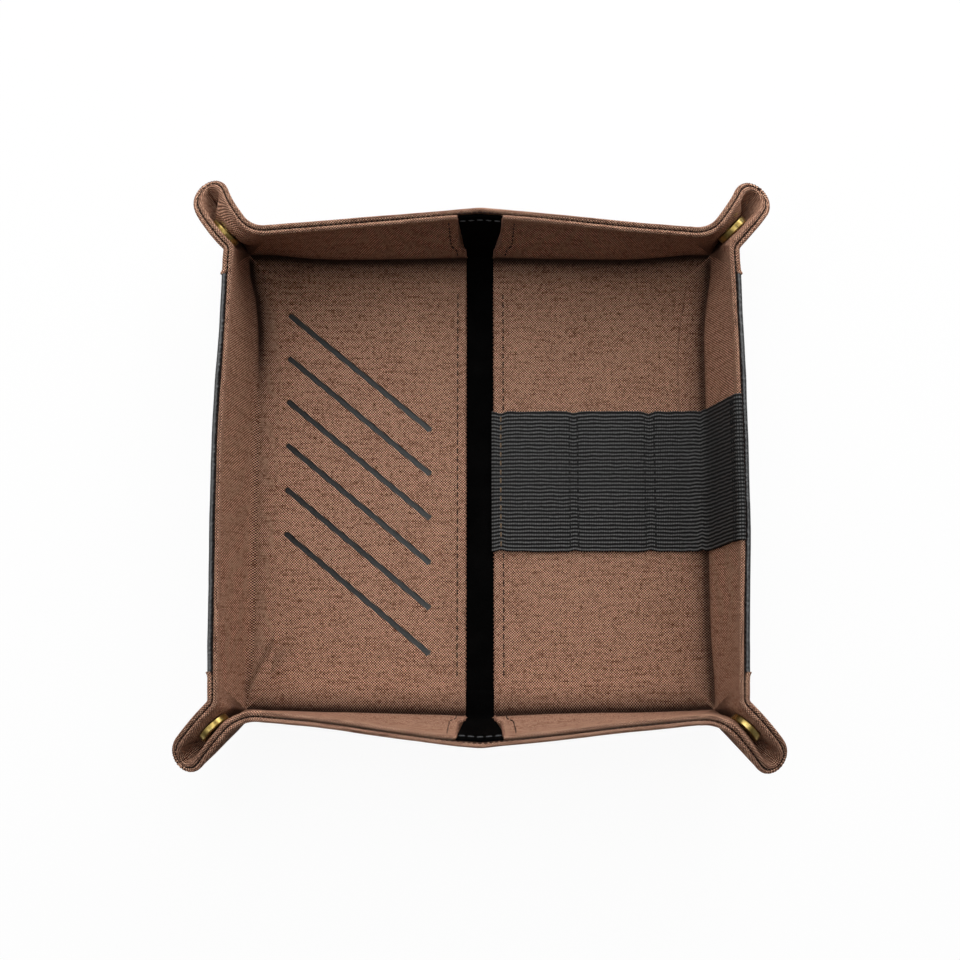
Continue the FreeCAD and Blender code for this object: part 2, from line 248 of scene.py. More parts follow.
def makeElastic():
    material, tree, shader = newMaterial("blackElastic", {
        "Roughness": 0.75, "Specular IOR Level": 0.12})
    flat = flatCoordinates(tree)
    sides = splitVector(tree, flat)
    rib = addMath(tree, "FRACT", addMath(tree, "DIVIDE", sides[1], band["ribPitch"]))
    crown = addMath(tree, "SINE", addMath(tree, "MULTIPLY", rib, math.pi))
    yarn = addMath(tree, "ABSOLUTE", addMath(tree, "SINE", addMath(tree, "MULTIPLY", sides[0], 5200.0)))
    fuzz = addNoise(tree, addVector(tree, "MULTIPLY", flat, (900.0, 4200.0, 0.0)), 1.0, 2.0, "2D")
    # Painted light and shade: the colour is lighter on each rib's crown and darker in the grooves between the
    # ribs
    tone = addMath(tree, "MULTIPLY", crown, addMath(tree, "MULTIPLY_ADD", yarn, 0.35, 0.65))
    tone = addMath(tree, "MULTIPLY_ADD", fuzz, 0.4, addMath(tree, "SUBTRACT", tone, 0.2))
    paint(tree, shader, tone, [(0.28, (0.003, 0.003, 0.003)), (0.66, (0.022, 0.022, 0.022)),
                               (1.0, (0.160, 0.160, 0.158))])
    addBump(tree, shader, tone, 0.5, 0.0002)
    return material


# Pebbled sheet; the optional last tone is painted light, mixed in towards the spine where the sheet behind
# the slits catches the light
def makeLeatherette(name, tone, rough, scale, coat, paintedLight=None):
    material, tree, shader = newMaterial(name, {
        "Specular IOR Level": 0.6, "Coat Weight": coat, "Coat Roughness": 0.12, "Coat IOR": 1.6})
    place = objectCoordinates(tree)
    inputs = {"Vector": place, "Scale": scale, "Smoothness": 0.5}
    pebbles = addNode(tree, "TexVoronoi", inputs, feature="SMOOTH_F1")[0]
    grain = addMath(tree, "MULTIPLY_ADD", addNoise(tree, place, 0.3 * scale, 3.0), 0.8, pebbles)
    wear = addNoise(tree, place, 90.0, 3.0)
    stops = [(at, tuple(share * part for part in tone)) for at, share in ((0.3, 0.75), (0.75, 1.3))]
    colour = addRamp(tree, wear, stops)
    if paintedLight:
        # Painted light: the sheet turns paler along x towards the spine
        share = addNode(tree, "MapRange", {0: splitVector(tree, place)[0], 1: -0.066, 2: -0.018})[0]
        colour = addMix(tree, share, colour, (*paintedLight, 1.0))
    joinTo(tree, colour, shader.inputs["Base Color"])
    joinTo(tree, addMath(tree, "MULTIPLY_ADD", wear, 0.25, rough), shader.inputs["Roughness"])
    addBump(tree, shader, grain, 0.7, 0.0005)
    return material


def makeBrass():
    material, tree, shader = newMaterial("brass", {"Metallic": 1.0})
    place = objectCoordinates(tree)
    tarnish = addNoise(tree, place, 420.0, 4.0)
    paint(tree, shader, tarnish, [(0.30, (0.17, 0.115, 0.032)), (0.52, (0.35, 0.255, 0.080)),
                                  (0.75, (0.52, 0.400, 0.155))])
    joinTo(tree, addMath(tree, "MULTIPLY_ADD", tarnish, -0.3, 0.45), shader.inputs["Roughness"])
    addBump(tree, shader, addNoise(tree, place, 1600.0), 0.15, 0.0001)
    return material


def makeThread(name, tone):
    material, tree, shader = newMaterial(name, {"Roughness": 0.75, "Specular IOR Level": 0.25})
    inputs = {"Vector": objectCoordinates(tree), "Scale": 900.0, "Distortion": 1.5}
    twist = addNode(tree, "TexWave", inputs, bands_direction="DIAGONAL")[1]
    paint(tree, shader, twist, [(0.1, tuple(0.55 * part for part in tone)), (0.8, tone)])
    addBump(tree, shader, twist, 0.5, 0.0001)
    return material


def makeBoard():
    material, tree, shader = newMaterial("stiffenerBoard", {"Roughness": 0.9})
    fibre = addNoise(tree, objectCoordinates(tree), 700.0, 4.0)
    paint(tree, shader, fibre, [(0.3, (0.30, 0.27, 0.23)), (0.7, (0.50, 0.46, 0.40))])
    addBump(tree, shader, fibre, 0.3, 0.0002)
    return material


weave = makeWeave()
pile = makePile()
elastic = makeElastic()
leatherette = makeLeatherette("blackLeatherette", (0.012, 0.0125, 0.0135), 0.30, 900.0,
                              0.35)
# The slit backing's pale tone towards the spine is painted light
slitSheet = makeLeatherette("slitSheet", (0.006, 0.007, 0.008), 0.45, 2400.0, 0.0,
                            (0.052, 0.057, 0.057))
brass = makeBrass()
board = makeBoard()
rimThread = makeThread("rimThread", (0.020, 0.0085, 0.0055))
brownThread = makeThread("brownThread", (0.040, 0.015, 0.009))
tanThread = makeThread("tanThread", (0.270, 0.130, 0.084))
blackThread = makeThread("blackThread", (0.006, 0.006, 0.006))
bandThread = makeThread("bandThread", (0.210, 0.140, 0.085))
greyThread = makeThread("greyThread", (0.085, 0.088, 0.092))
print("materials made")


# Mesh helpers
def smoothStep(value):
    value = min(max(value, 0.0), 1.0)
    return value * value * (3.0 - 2.0 * value)


def bell(distance, width):
    return math.exp(-(distance / width) ** 2)


def stations(start, end, spacing):
    count = max(2, round(abs(end - start) / spacing))
    return [start + (end - start) * step / count for step in range(count + 1)]


def mirrored(point, sign):
    return Vector((point.x * sign.x, point.y * sign.y, point.z))


def meshOf(shape):
    mesh = bpy.data.meshes.new("piece")
    shape.to_mesh(mesh)
    shape.free()
    return mesh


def finishPiece(name, mesh, material, *replaced):
    mesh.name = name
    piece = bpy.data.objects.new(name, mesh)
    scene.collection.objects.link(piece)
    mesh.materials.clear()
    mesh.materials.append(material)
    if replaced:
        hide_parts(*replaced)
    return piece


# Cut a shape with a plane, keep what lies behind it and close the cut
def trim(shape, distance, point, normal):
    geometry = shape.verts[:] + shape.edges[:] + shape.faces[:]
    cut = bmesh.ops.bisect_plane(shape, geom=geometry, dist=distance, plane_co=point, plane_no=normal,
                                 clear_outer=True)["geom_cut"]
    bmesh.ops.holes_fill(shape, edges=[part for part in cut if isinstance(part, bmesh.types.BMEdge)], sides=0)


# A closed sheet: steps run along it, rows go once round its section, and place gives (point, flat point)
def wrapSheet(steps, rows, place, crease=None):
    grid = bmesh.new()
    bmesh.ops.create_grid(grid, x_segments=len(steps) - 1, y_segments=len(rows), size=0.5)
    flats = {}
    # crease, when given, paints shade: its value at each point is kept in the crease attribute, which darkens
    # the weave
    depth = grid.verts.layers.float.new("crease") if crease else None
    for vert in grid.verts:
        step = steps[round((vert.co.x + 0.5) * (len(steps) - 1))]
        row = rows[round((vert.co.y + 0.5) * len(rows)) % len(rows)]
        vert.co, flats[vert.index] = place(step, *row)
        if crease:
            vert[depth] = crease(step, row[0])
    flat = grid.loops.layers.uv.new("flat")
    for face in grid.faces:
        face.smooth = True
        for loop in face.loops:
            loop[flat].uv = flats[loop.vert.index]
    bmesh.ops.remove_doubles(grid, verts=grid.verts, dist=1e-8)
    rims = [edge for edge in grid.edges if edge.is_boundary]
    for cap in bmesh.ops.holes_fill(grid, edges=rims, sides=0)["faces"]:
        for edge in cap.edges:
            edge.smooth = False
    bmesh.ops.recalc_face_normals(grid, faces=grid.faces)
    return meshOf(grid)


# Rows of a plain sheet: along one face at a depth, and back along the other at another depth
def twoFaces(places, face, back):
    return [(place, face) for place in places] + [(place, back) for place in reversed(places)]


# Loose cloth: soft lumps, and a ridge that runs into the front left corner of the floor
ridge = {"offset": -0.0036, "start": 0.1135, "length": 0.033, "height": 0.0014, "width": 0.0024, "tone": 0.5,
         "corner": -0.03, "diagonal": 0.7071, "fades": (0.006, 0.016), "toneFades": (0.004, 0.020)}
lumps = {"height": 0.00022, "slow": 45.0, "fast": 170.0, "fastShare": 0.35, "seamFade": 0.005}
creaseShade = {"most": 0.96, "line": 0.75, "lineWidth": 0.0015, "soft": 0.55, "floorWidth": 0.0056,
               "wallWidth": 0.0040}


def ridgeForm(u, v, size, shift, rise, fall):
    if u > ridge["corner"] or v > ridge["corner"]:
        return 0.0
    away = (u - v) * ridge["diagonal"] - ridge["offset"] + shift
    along = (u + v) * ridge["diagonal"] + ridge["start"]
    fade = smoothStep(along / rise) * smoothStep((ridge["length"] - along) / fall)
    return size * bell(away, ridge["width"]) * fade


# How far the cloth stands proud at a place on the flat cloth
def clothLump(u, v):
    slow = noise.noise(Vector((u * lumps["slow"], v * lumps["slow"], 3.1)))
    fast = noise.noise(Vector((u * lumps["fast"], v * lumps["fast"], 8.7)))
    seam = min(abs(abs(u) - panelSide(v)), abs(abs(v) - panelEnd(u, 1 if v > 0 else -1)))
    lump = lumps["height"] * (slow + lumps["fastShare"] * fast) * smoothStep(seam / lumps["seamFade"])
    return lump + ridgeForm(u, v, ridge["height"], 0.0, *ridge["fades"])


# Painted shade beside the ridge: how dark the cloth is made on the side away from the light
def paintedRidgeShade(u, v):
    return ridgeForm(u, v, ridge["tone"], ridge["width"], *ridge["toneFades"])


# Painted shade in a crease: how dark the cloth is made there, a narrow line with a soft edge
def paintedCreaseShade(climb, share):
    line = creaseShade["line"] * bell(climb, creaseShade["lineWidth"])
    soft = creaseShade["soft"] * bell(climb, creaseShade["floorWidth" if climb < 0 else "wallWidth"])
    return share * min(creaseShade["most"], line + soft)


# A sheet's section up a wall, as (climb, depth, run) rows that go up its face, round its rim and down its
# back; each neck of the rim's bead is (climb, how far its face stands out, how far its back lies in)
lowClimbs = [flap * share for share in (-1.0, -0.8, -0.6, -0.48, -0.38, -0.3, -0.22, -0.15, -0.07)]
highClimbs = [0.0, 0.0006, 0.0012, 0.002, 0.003, 0.0042, 0.0056, 0.0074, 0.010, 0.014, 0.018, 0.022, 0.026,
              0.030, 0.033]
rim = {"middle": 0.00066, "radius": 0.00078, "steps": 8, "tuckEnd": 0.0006, "tuckDepth": 0.00022,
       "necks": ((0.0338, 0.00006, 0.0012), (0.0345, 0.00012, 0.00142))}
skinThick = 0.00085
linerDepths = (0.0, skinThick, 1.0)
coverDepths = (floorTop, floorTop - skinThick, -1.0)
boardSet = {"depths": (0.00098, 0.00222), "foot": 0.0035, "head": 0.0325, "halfLength": 0.072,
            "spineGap": 0.0015, "cornerGap": 0.004}


def sheetRows(face, skin, inward, low=True):
    climbs = (lowClimbs if low else []) + highClimbs
    rows = [(-flap - rim["tuckEnd"], face + inward * rim["tuckDepth"])] if low else []
    rows += [(climb, face) for climb in climbs]
    rows += [(climb, face - inward * proud) for climb, proud, back in rim["necks"]]
    middle, radius = face + inward * rim["middle"], rim["radius"]
    for step in range(rim["steps"] + 1):
        turn = math.pi * step / rim["steps"]
        rows.append((slant - radius + radius * math.sin(turn), middle - inward * radius * math.cos(turn)))
    rows += [(climb, face + inward * back) for climb, proud, back in reversed(rim["necks"])]
    rows += [(climb, skin) for climb in reversed(climbs)]
    run, runs = rows[0][0], []
    for here, before in zip(rows, rows[:1] + rows):
        onWall = low and inward > 0 and 0 < here[0] < slant - tray["bead"] + 0.0001
        drawn = tray["wallDraw"] if onWall else 1.0
        run += drawn * math.hypot(here[0] - before[0], here[1] - before[1])
        runs.append((*here, run))
    return runs


linerRows, coverRows = sheetRows(*linerDepths), sheetRows(*coverDepths)
boardClimbs = [boardSet["foot"]] + highClimbs[5:-1] + [boardSet["head"]]
boardRows = [(climb, depth, climb) for climb, depth in twoFaces(boardClimbs, *boardSet["depths"])]


# Out and up from the crease of a sheet that lies at a depth under the liner's face; the crease is rounded,
# and dips where the cloth sinks between the floor's board and the wall's
def wallSection(climb, lean, tangent, depth, dip=0.0):
    if climb < -tangent:
        out, up = climb, -depth
    elif climb > tangent:
        out = climb * math.cos(lean) + depth * math.sin(lean)
        up = climb * math.sin(lean) - depth * math.cos(lean)
    else:
        radius = tangent / math.tan(lean / 2)
        turn = lean * (climb + tangent) / (2 * tangent)
        out = -tangent + (radius + depth) * math.sin(turn)
        up = radius - (radius + depth) * math.cos(turn)
    sink = tray["dipShare"] * (dip * bell(climb, tray["dipWidth"]))
    return out + sink, up - sink


def polar(length, lean):
    return Vector((length * math.cos(math.radians(lean)), length * math.sin(math.radians(lean))))


# Rim points that the walls and the ears share, in the quarter where x and y are positive
spineTop, cornerTop, sideTop = [polar(slant, tray[key]) for key in ("spineLean", "cornerLean", "sideLean")]
spineRim = Vector((0.0, halfDepth + spineTop.x, floorTop + spineTop.y))
cornerRim = Vector((tray["cornerFoot"], halfDepth + cornerTop.x, floorTop + cornerTop.y))
endRim = spineRim.lerp(cornerRim, tray["earShare"])
endTwist = (cornerRim.y - spineRim.y) / cornerRim.x
sideRimY = 0.0680
sideRim = Vector((halfWidth + sideTop.x - tray["sideBow"], sideRimY, floorTop + sideTop.y))

# Where the creases meet at the corners of each end, and how far the end's crease bows at the spine; how
# widely the creases are rounded; and how far each rim leans in from the solids' one at corners and spine
creases = {-1: {"apex": Vector((0.0812, 0.0798, floorTop)), "bow": 0.0012, "bowReach": 0.045},
           1: {"apex": Vector((0.0836, 0.0828, floorTop)), "bow": 0.0008, "bowReach": 0.045}}
roundings = {"right": 0.0030, "left": 0.0072, "end": 0.0026, "cover": 0.0018, "least": 0.0001,
             "growth": 0.036, "dipEnd": 0.12}
rimPull = {(-1, -1): 0.0020, (-1, 1): 0.0009, (1, -1): 0.0010, (1, 1): 0.0016}
spinePull = {-1: 0.0, 1: 0.0010}
pullCurve = {"start": 0.1, "run": 0.7}
creaseCurve = {"start": 0.55, "run": 0.45, "power": 1.6}

# Along the side walls: how far the rim leans in, towards which end, from which y and over which run
sidePulls = {1: [(0.0006, -1, 0.01, 0.045)], -1: [(0.0011, 1, 0.005, 0.055), (-0.0003, -1, 0.04, 0.028)]}


def endPull(along, side):
    share = smoothStep((abs(along) - pullCurve["start"]) / pullCurve["run"])
    return spinePull[side] * (1.0 - share) + rimPull[side, 1 if along > 0 else -1] * share


def sidePull(y, side):
    return sum(size * smoothStep((end * y - start) / run) for size, end, start, run in sidePulls[side])


def cornerPull(share):
    curve = (min(abs(share), 1.0) - creaseCurve["start"]) / creaseCurve["run"]
    return smoothStep(curve) ** creaseCurve["power"]


def apexAt(y):
    return creases[1 if y > 0 else -1]["apex"]


def creaseX(y):
    apex = apexAt(y)
    return halfWidth + (apex.x - halfWidth) * cornerPull(y / apex.y)


def creaseY(x, side):
    apex = creases[side]["apex"]
    middle = max(0.0, 1.0 - abs(x) / creases[side]["bowReach"]) ** 2 * creases[side]["bow"]
    return halfDepth + (apex.y - halfDepth) * cornerPull(x / apex.x) + middle


# How far a wall reaches along its crease at a climb, from the middle of the tray to the ear
def wallReach(climb, foot, head):
    return foot + (max(climb, -flap) if climb < 0 else climb / slant * (head - foot))


def endReach(climb, side):
    return wallReach(climb, creases[side]["apex"].x, endRim.x)


def sideReach(climb, end):
    return wallReach(climb, creases[end]["apex"].y, sideRim.y)


def endCrease(x, climb, side):
    along = max(-1.0, min(1.0, x / endReach(climb, side)))
    return creaseY(along * creases[side]["apex"].x, side), along


def sideCrease(y, climb):
    along = max(-1.0, min(1.0, y / sideReach(climb, 1 if y > 0 else -1)))
    return creaseX(along * apexAt(y).y), along


# The line where the floor's panels and covers meet the flaps that turn up into the walls
def panelSide(y):
    apex = apexAt(y)
    return creaseX(y * apex.y / (apex.y - flap)) - flap


def panelEnd(x, side):
    apex = creases[side]["apex"]
    return creaseY(x * apex.x / (apex.x - flap), side) - flap


# Out and up in a wall whose rim is at top, seen from its crease; room is its share of the way from the ear
def wallProfile(climb, depth, top, rounding, room, dip):
    tangent = min(rounding, roundings["least"] + roundings["growth"] * room)
    return wallSection(climb * top.length / slant, math.atan2(top.y, top.x), tangent, depth,
                       dip * smoothStep(room / roundings["dipEnd"]))


# A point of the front or back wall's sheet; side is -1 at the front and 1 at the back
def endWall(x, climb, depth, side, tangent=None, dip=0.0):
    share = max(climb, 0.0) / slant
    crease, along = endCrease(x, climb, side)
    head = spineRim.lerp(endRim, abs(along))
    top = Vector((head.y - endPull(along, side) - crease, head.z - floorTop))
    out, up = wallProfile(climb, depth, top, tangent or roundings["end"], 1.0 - abs(along), dip)
    slide = -depth * share * endTwist * (x / (abs(x) + tray["twistFade"]))
    return Vector((x + slide, side * (crease + out), floorTop + up))


# A point of the left or right wall's sheet; side is -1 at the left and 1 at the right
def sideWall(y, climb, depth, side, tangent=None, dip=0.0):
    share = max(climb, 0.0) / slant
    crease, along = sideCrease(y, climb)
    bow = tray["sideBow"] * (1 - 2 * along * along) - sidePull(y, side)
    top = Vector((halfWidth + sideTop.x + bow - crease, sideTop.y))
    rounding = tangent or roundings["right" if side > 0 else "left"]
    out, up = wallProfile(climb, depth, top, rounding, 1.0 - abs(along), dip)
    slide = depth * share * 4 * tray["sideBow"] / sideRimY * along
    return Vector((side * (crease + out), y + slide, floorTop + up))


# Ears: each corner's sheet is a cone from the floor's corner over a hairpin that the rim draws
ears = {"halfGap": 0.0028, "reach": 0.0214, "tipStretch": 1.45, "tipRuling": 0.0325, "start": 0.0006,
        "spacing": 0.0009, "socketGap": 0.0020, "studGap": 0.0006, "seat": 0.0055, "seatFade": 0.004,
        "studFade": 0.006, "rimFree": 0.008, "studFree": 0.005, "pinch": 0.56, "ramp": 0.6,
        "openStart": -0.002, "openEnd": 0.008, "rimBlend": 0.006, "tipPower": 1.5, "faceLimit": 0.6,
        "faceStart": 0.72, "faceFade": 0.2, "lumpFade": 0.006, "shade": 0.75, "shadeTop": 0.031,
        "shadeFade": 0.022}
earShapes = {"front": {"angle": 46.0, "shift": 0.0013, "bend": 0.0007, "endNeck": 0.0160, "sideNeck": 0.0050,
                       "bulb": 0.0031},
             "back": {"angle": 48.0, "shift": 0.0016, "bend": 0.0026, "endNeck": 0.0125, "sideNeck": 0.0050,
                      "bulb": 0.0039},
             "front_left": {"shift": 0.0022}, "back_left": {"shift": 0.0010, "bend": 0.0033}}
cadCorner = Vector((halfWidth, halfDepth, floorTop))
endOut = Vector((0.0, cornerTop.y, -cornerTop.x)) / slant
sideOut = Vector((sideTop.y, 0.0, -sideTop.x)) / slant
earNormal = (endOut - sideOut).normalized()


def meet(first, firstWay, second, secondWay):
    gap = second - first
    cross = firstWay.x * secondWay.y - firstWay.y * secondWay.x
    return first + firstWay * ((gap.x * secondWay.y - gap.y * secondWay.x) / cross)


# A path through points with rounded corners; marks are the places where its runs and arcs meet
def roundedPath(points, radii, spacing):
    path, marks = [points[0]], [0]

    def runTo(point):
        start = path[-1]
        steps = max(2, round((point - start).length / spacing))
        path.extend(start.lerp(point, step / steps) for step in range(1, steps + 1))
        marks.append(len(path) - 1)

    for before, here, after, radius in zip(points, points[1:], points[2:], radii):
        arrive, leave = (here - before).normalized(), (after - here).normalized()
        turn = arrive.angle(leave)
        radius = min(radius, 0.96 * min((here - before).length, (after - here).length) / math.tan(turn / 2))
        hand = 1.0 if arrive.x * leave.y - arrive.y * leave.x > 0 else -1.0
        inward = Vector((-arrive.y, arrive.x)) * hand
        first = here - arrive * radius * math.tan(turn / 2)
        runTo(first)
        steps = max(6, round(radius * turn / spacing))
        for step in range(1, steps + 1):
            bend = turn * step / steps
            way = arrive * math.sin(bend) - inward * math.cos(bend)
            path.append(first + inward * radius + way * radius)
        marks.append(len(path) - 1)
    runTo(points[-1])
    return path, marks


# The hairpin in plan: out from the end wall's rim, round the tip and back to the side wall's rim
def earPlan(endSign, sideSign, shape, out, across):
    endStart = (endRim - Vector((0.0, rimPull[endSign, sideSign], 0.0))).to_2d()
    sideStart = (sideRim - Vector((sidePull(endSign * sideRimY, sideSign), 0.0, 0.0))).to_2d()
    endWay = (cornerRim - spineRim).to_2d().normalized()
    sideWay = Vector((-4 * tray["sideBow"] / sideRimY, 1.0)).normalized()
    fork = meet(endStart, endWay, sideStart, sideWay) + across * shape["shift"]
    gap, bulb, reach = ears["halfGap"], shape["bulb"], ears["reach"]
    tips = [fork + out * reach + across * bulb * hand for hand in (1, -1)]
    necks = [meet(start, way, tip, tip - fork - across * gap * hand) for start, way, tip, hand in
             ((endStart, endWay, tips[0], 1), (sideStart, sideWay, tips[1], -1))]
    tipRound = 0.999 * bulb / math.tan(math.pi / 4 + math.atan2(bulb - gap, reach) / 2)
    path, marks = roundedPath([endStart, necks[0], tips[0], tips[1], necks[1], sideStart],
                              [shape["endNeck"], tipRound, tipRound, shape["sideNeck"]], ears["spacing"])
    return fork, path, marks


def makeCorner(name):
    endName, sideName = name.split("_")
    endSign, sideSign = endSigns[endName], sideSigns[sideName]
    sign = Vector((sideSign, endSign, 1.0))
    apex, shape = creases[endSign]["apex"], dict(earShapes[endName], **earShapes.get(name, {}))
    out = polar(1.0, shape["angle"])
    across = Vector((-out.y, out.x))
    fork, path, marks = earPlan(endSign, sideSign, shape, out, across)
    reach = ears["reach"]
    rimHeight = (endRim.z + sideRim.z) / 2
    first = (Vector((*fork, rimHeight)) - apex).length
    tops = []
    for point in path:
        along, off = (point - fork).dot(out), (point - fork).dot(across)
        height = rimHeight + (endRim.z - sideRim.z) / 2 * max(-1.0, min(1.0, off / ears["rimBlend"]))
        beyond = max(0.0, along - reach + shape["bulb"])
        along += beyond * (ears["tipStretch"] - 1.0)
        point = point + out * beyond * (ears["tipStretch"] - 1.0)
        if along > 0:
            share = along / reach
            ruling = first - (first - ears["tipRuling"]) * share ** ears["tipPower"]
            plan = (fork + out * along - apex.to_2d()).length
            height += apex.z + math.sqrt(ruling ** 2 - plan ** 2) - rimHeight
            point = point + across * shape["bend"] * share * share
        tops.append(Vector((*point, height)))
    rulings, turned = [], 0.0
    for index, top in enumerate(tops):
        before, after = tops[max(index - 1, 0)], tops[min(index + 1, len(tops) - 1)]
        outward = (top - apex).cross(after - before).normalized()
        if index:
            turned += (top - apex).angle(tops[index - 1] - apex)
        rulings.append({"way": (top - apex).normalized(), "length": (top - apex).length, "out": outward,
                        "turned": turned})
    low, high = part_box(name + "_snap_socket")
    snap = mirrored((Vector(low) + Vector(high)) / 2, sign)
    socketHand = 1.0 if (snap - cadCorner).dot(earNormal) > 0 else -1.0
    parts = {"end": (0, marks[3]), "fold": (marks[3], marks[6]), "side": (marks[6], marks[9])}
    return {"name": name, "sign": sign, "end": endName, "side": sideName, "rulings": rulings, "parts": parts,
            "fork": fork, "outWay": out, "apex": apex, "snap": snap, "socketHand": socketHand}


corners = {name: makeCorner(name) for name in ("front_right", "front_left", "back_right", "back_left")}


def earClimb(climb, length):
    low, high = ears["start"], length - tray["bead"]
    if climb > slant - tray["bead"]:
        return length - slant + climb
    return low + (high - low) * max(climb, 0.0) / (slant - tray["bead"])


# Round its snap a plate lies flat: against the socket on one side, over the stud's flange on the other
def earPoint(corner, index, climb, depth):
    ruling = corner["rulings"][index]
    point = corner["apex"] + ruling["way"] * earClimb(climb, ruling["length"]) + ruling["out"] * depth
    facing = ruling["out"].dot(earNormal)
    hand = 1.0 if facing > 0 else -1.0
    if abs(facing) > ears["faceLimit"]:
        away = point - corner["snap"]
        near = (away - earNormal * away.dot(earNormal)).length
        fade, free, seat = ears["studFade"], ears["studFree"], ears["studGap"] + depth
        if hand == corner["socketHand"]:
            fade, free, seat = ears["seatFade"], ears["rimFree"], ears["socketGap"] + depth * ears["pinch"]
        share = smoothStep((ears["seat"] + fade - near) / fade) * smoothStep((slant - climb) / free)
        share *= smoothStep((abs(facing) - ears["faceStart"]) / ears["faceFade"])
        lateral = (point - cadCorner).dot(earNormal) * hand
        point = point + earNormal * hand * (seat - lateral) * share
    return mirrored(point, corner["sign"])


# Where a point of an ear lay on the flat cloth; the side half is measured from the side wall's cloth
def earFlat(corner, index, run, fromSide):
    ruling, apex, sign = corner["rulings"][index], corner["apex"], corner["sign"]
    run *= ruling["length"] / slant
    if fromSide:
        angle = math.atan2(sideRim.y - apex.y, slant) + corner["rulings"][-1]["turned"] - ruling["turned"]
    else:
        angle = math.atan2(slant, endRim.x - apex.x) - ruling["turned"]
    return (apex.x + run * math.cos(angle)) * sign.x, (apex.y + run * math.sin(angle)) * sign.y


def earSheet(corner, part, depths):
    def place(index, climb, depth, run):
        flat = earFlat(corner, index, run, part == "side")
        lump = clothLump(*flat) * smoothStep(climb / ears["lumpFade"])
        return earPoint(corner, index, climb, depth - lump), flat

    # Painted shade: the ear's cloth is darkened low inside the ear, fading out towards the rim
    def tone(index, climb):
        return ears["shade"] * smoothStep((ears["shadeTop"] - climb) / ears["shadeFade"])

    first, last = corner["parts"][part]
    return wrapSheet(range(first, last + 1), sheetRows(*depths, low=False), place, tone)


# How wide an ear's sheet is at its foot and at its rim
def earWidths(corner, part, depth):
    first, last = corner["parts"][part]
    rulings = corner["rulings"][first:last + 1]
    feet = [ruling["out"] * depth for ruling in rulings]
    tops = [foot + ruling["way"] * ruling["length"] for foot, ruling in zip(feet, rulings)]
    return [sum((after - before).length for before, after in zip(points, points[1:]))
            for points in (feet, tops)]


# Each fold's blend: it starts at a distance before the crease and a height, and ends at a distance past the
# crease and a height; foldWith and openWith work out these ends and only bake each piece's transform
foldBlends = {False: (0.004, floorTop, 0.0005, 0.0085), True: (0.0015, -0.0005, 0.004, 0.0045)}


def foldWith(piece, wall, cover=False):
    side = wall.split("_")[0]
    way = Vector((sideSigns.get(side, 0), endSigns.get(side, 0), 0))
    reach = halfWidth if way.x else halfDepth
    before, low, past, high = foldBlends[cover]
    start, end = way * (reach - before) + Vector((0, 0, low)), way * (reach + past) + Vector((0, 0, high))
    tuple(start)
    tuple(end)
    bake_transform(piece)


def openWith(piece, corner, part):
    name, sign = corner["name"], corner["sign"]
    if part == "fold":
        tips = [corner["rulings"][index]["way"] * corner["rulings"][index]["length"]
                for index in corner["parts"]["fold"]]
        middle = (tips[0] + tips[1]) / 2
        half = (tips[0] - tips[1]) / 2
        half = (half - half.project(middle)) * ears["ramp"]
        start, end = [mirrored(corner["apex"] + middle + half * hand, sign) for hand in (1, -1)]
        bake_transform(piece)
    else:
        base, out = Vector((*corner["fork"], floorTop)), Vector((*corner["outWay"], 0.0))
        start, end = [mirrored(base + out * ears[key], sign) for key in ("openStart", "openEnd")]
        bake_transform(piece)


# A sheet's edge that shows is rounded over its last half millimetre
def edgeFullness(distance, roundness=0.0005, least=0.2):
    if distance >= roundness:
        return 1.0
    return max(least, math.sqrt(1.0 - (1.0 - distance / roundness) ** 2))


# How far the liners' edges lie from the middle of the spine: they part as they climb
def spineEdge(climb):
    step = smoothStep((climb - tray["flareStart"]) / tray["flareRun"])
    parted = tray["flareStep"] * step + (1.0 - tray["flareStep"]) * max(climb, 0.0) / slant
    return tray["spineHalf"] + tray["spineFlare"] * parted


# Front and back walls: two liners and two boards each, and one cover from corner to corner
wallSteps = [0.0, 0.00012, 0.0003, 0.0005] + stations(0.002, 0.0795, 0.0018)
coverShift = 0.3
linerEdge = {"middle": 0.0005, "wander": 0.00012, "scale": 300}


def endLiner(sideSign, endSign):
    middle = linerEdge["middle"]

    def place(step, climb, depth, run):
        wander = noise.noise(Vector((climb * linerEdge["scale"], endSign * 4.0, sideSign * 7.0)))
        edge = spineEdge(climb) + linerEdge["wander"] * wander
        distance = step / wallSteps[-1] * (endReach(climb, endSign) - edge)
        depth = middle + (depth - middle) * edgeFullness(distance)
        x = edge + distance
        crease = endCrease(x, climb, endSign)[0]
        depth -= clothLump(sideSign * x, endSign * (crease + climb))
        return (endWall(sideSign * x, climb, depth, endSign, None, tray["dip"]),
                (sideSign * x, endSign * (crease + run)))

    # Painted shade along the crease at the foot of the wall
    return wrapSheet(wallSteps, linerRows, place, lambda step, climb: paintedCreaseShade(climb, 1.0))


def endCover(endSign):
    def place(step, climb, depth, run):
        x = step * endReach(climb, endSign)
        depth -= clothLump(x, endSign * (halfDepth + climb) + coverShift)
        return endWall(x, climb, depth, endSign, roundings["cover"]), (x, endSign * (halfDepth + run))

    return wrapSheet(stations(-1.0, 1.0, 0.022), coverRows, place)


def endBoard(sideSign, endSign):
    def place(step, climb, depth, run):
        low = spineEdge(climb) + boardSet["spineGap"]
        high = endReach(climb, endSign) - boardSet["cornerGap"]
        x = sideSign * (low + (high - low) * step)
        return endWall(x, climb, depth, endSign), (x, run)

    return wrapSheet(stations(0.0, 1.0, 0.04), boardRows, place)


lipSet = {"rise": 0.00045, "width": 0.0009, "fade": 0.001, "climb": 0.6}
sideShade = {"right": 0.85, "leftLeast": 0.25, "leftMore": 0.75, "softEnd": 0.022, "softRun": 0.030,
             "cornerFade": 0.03}


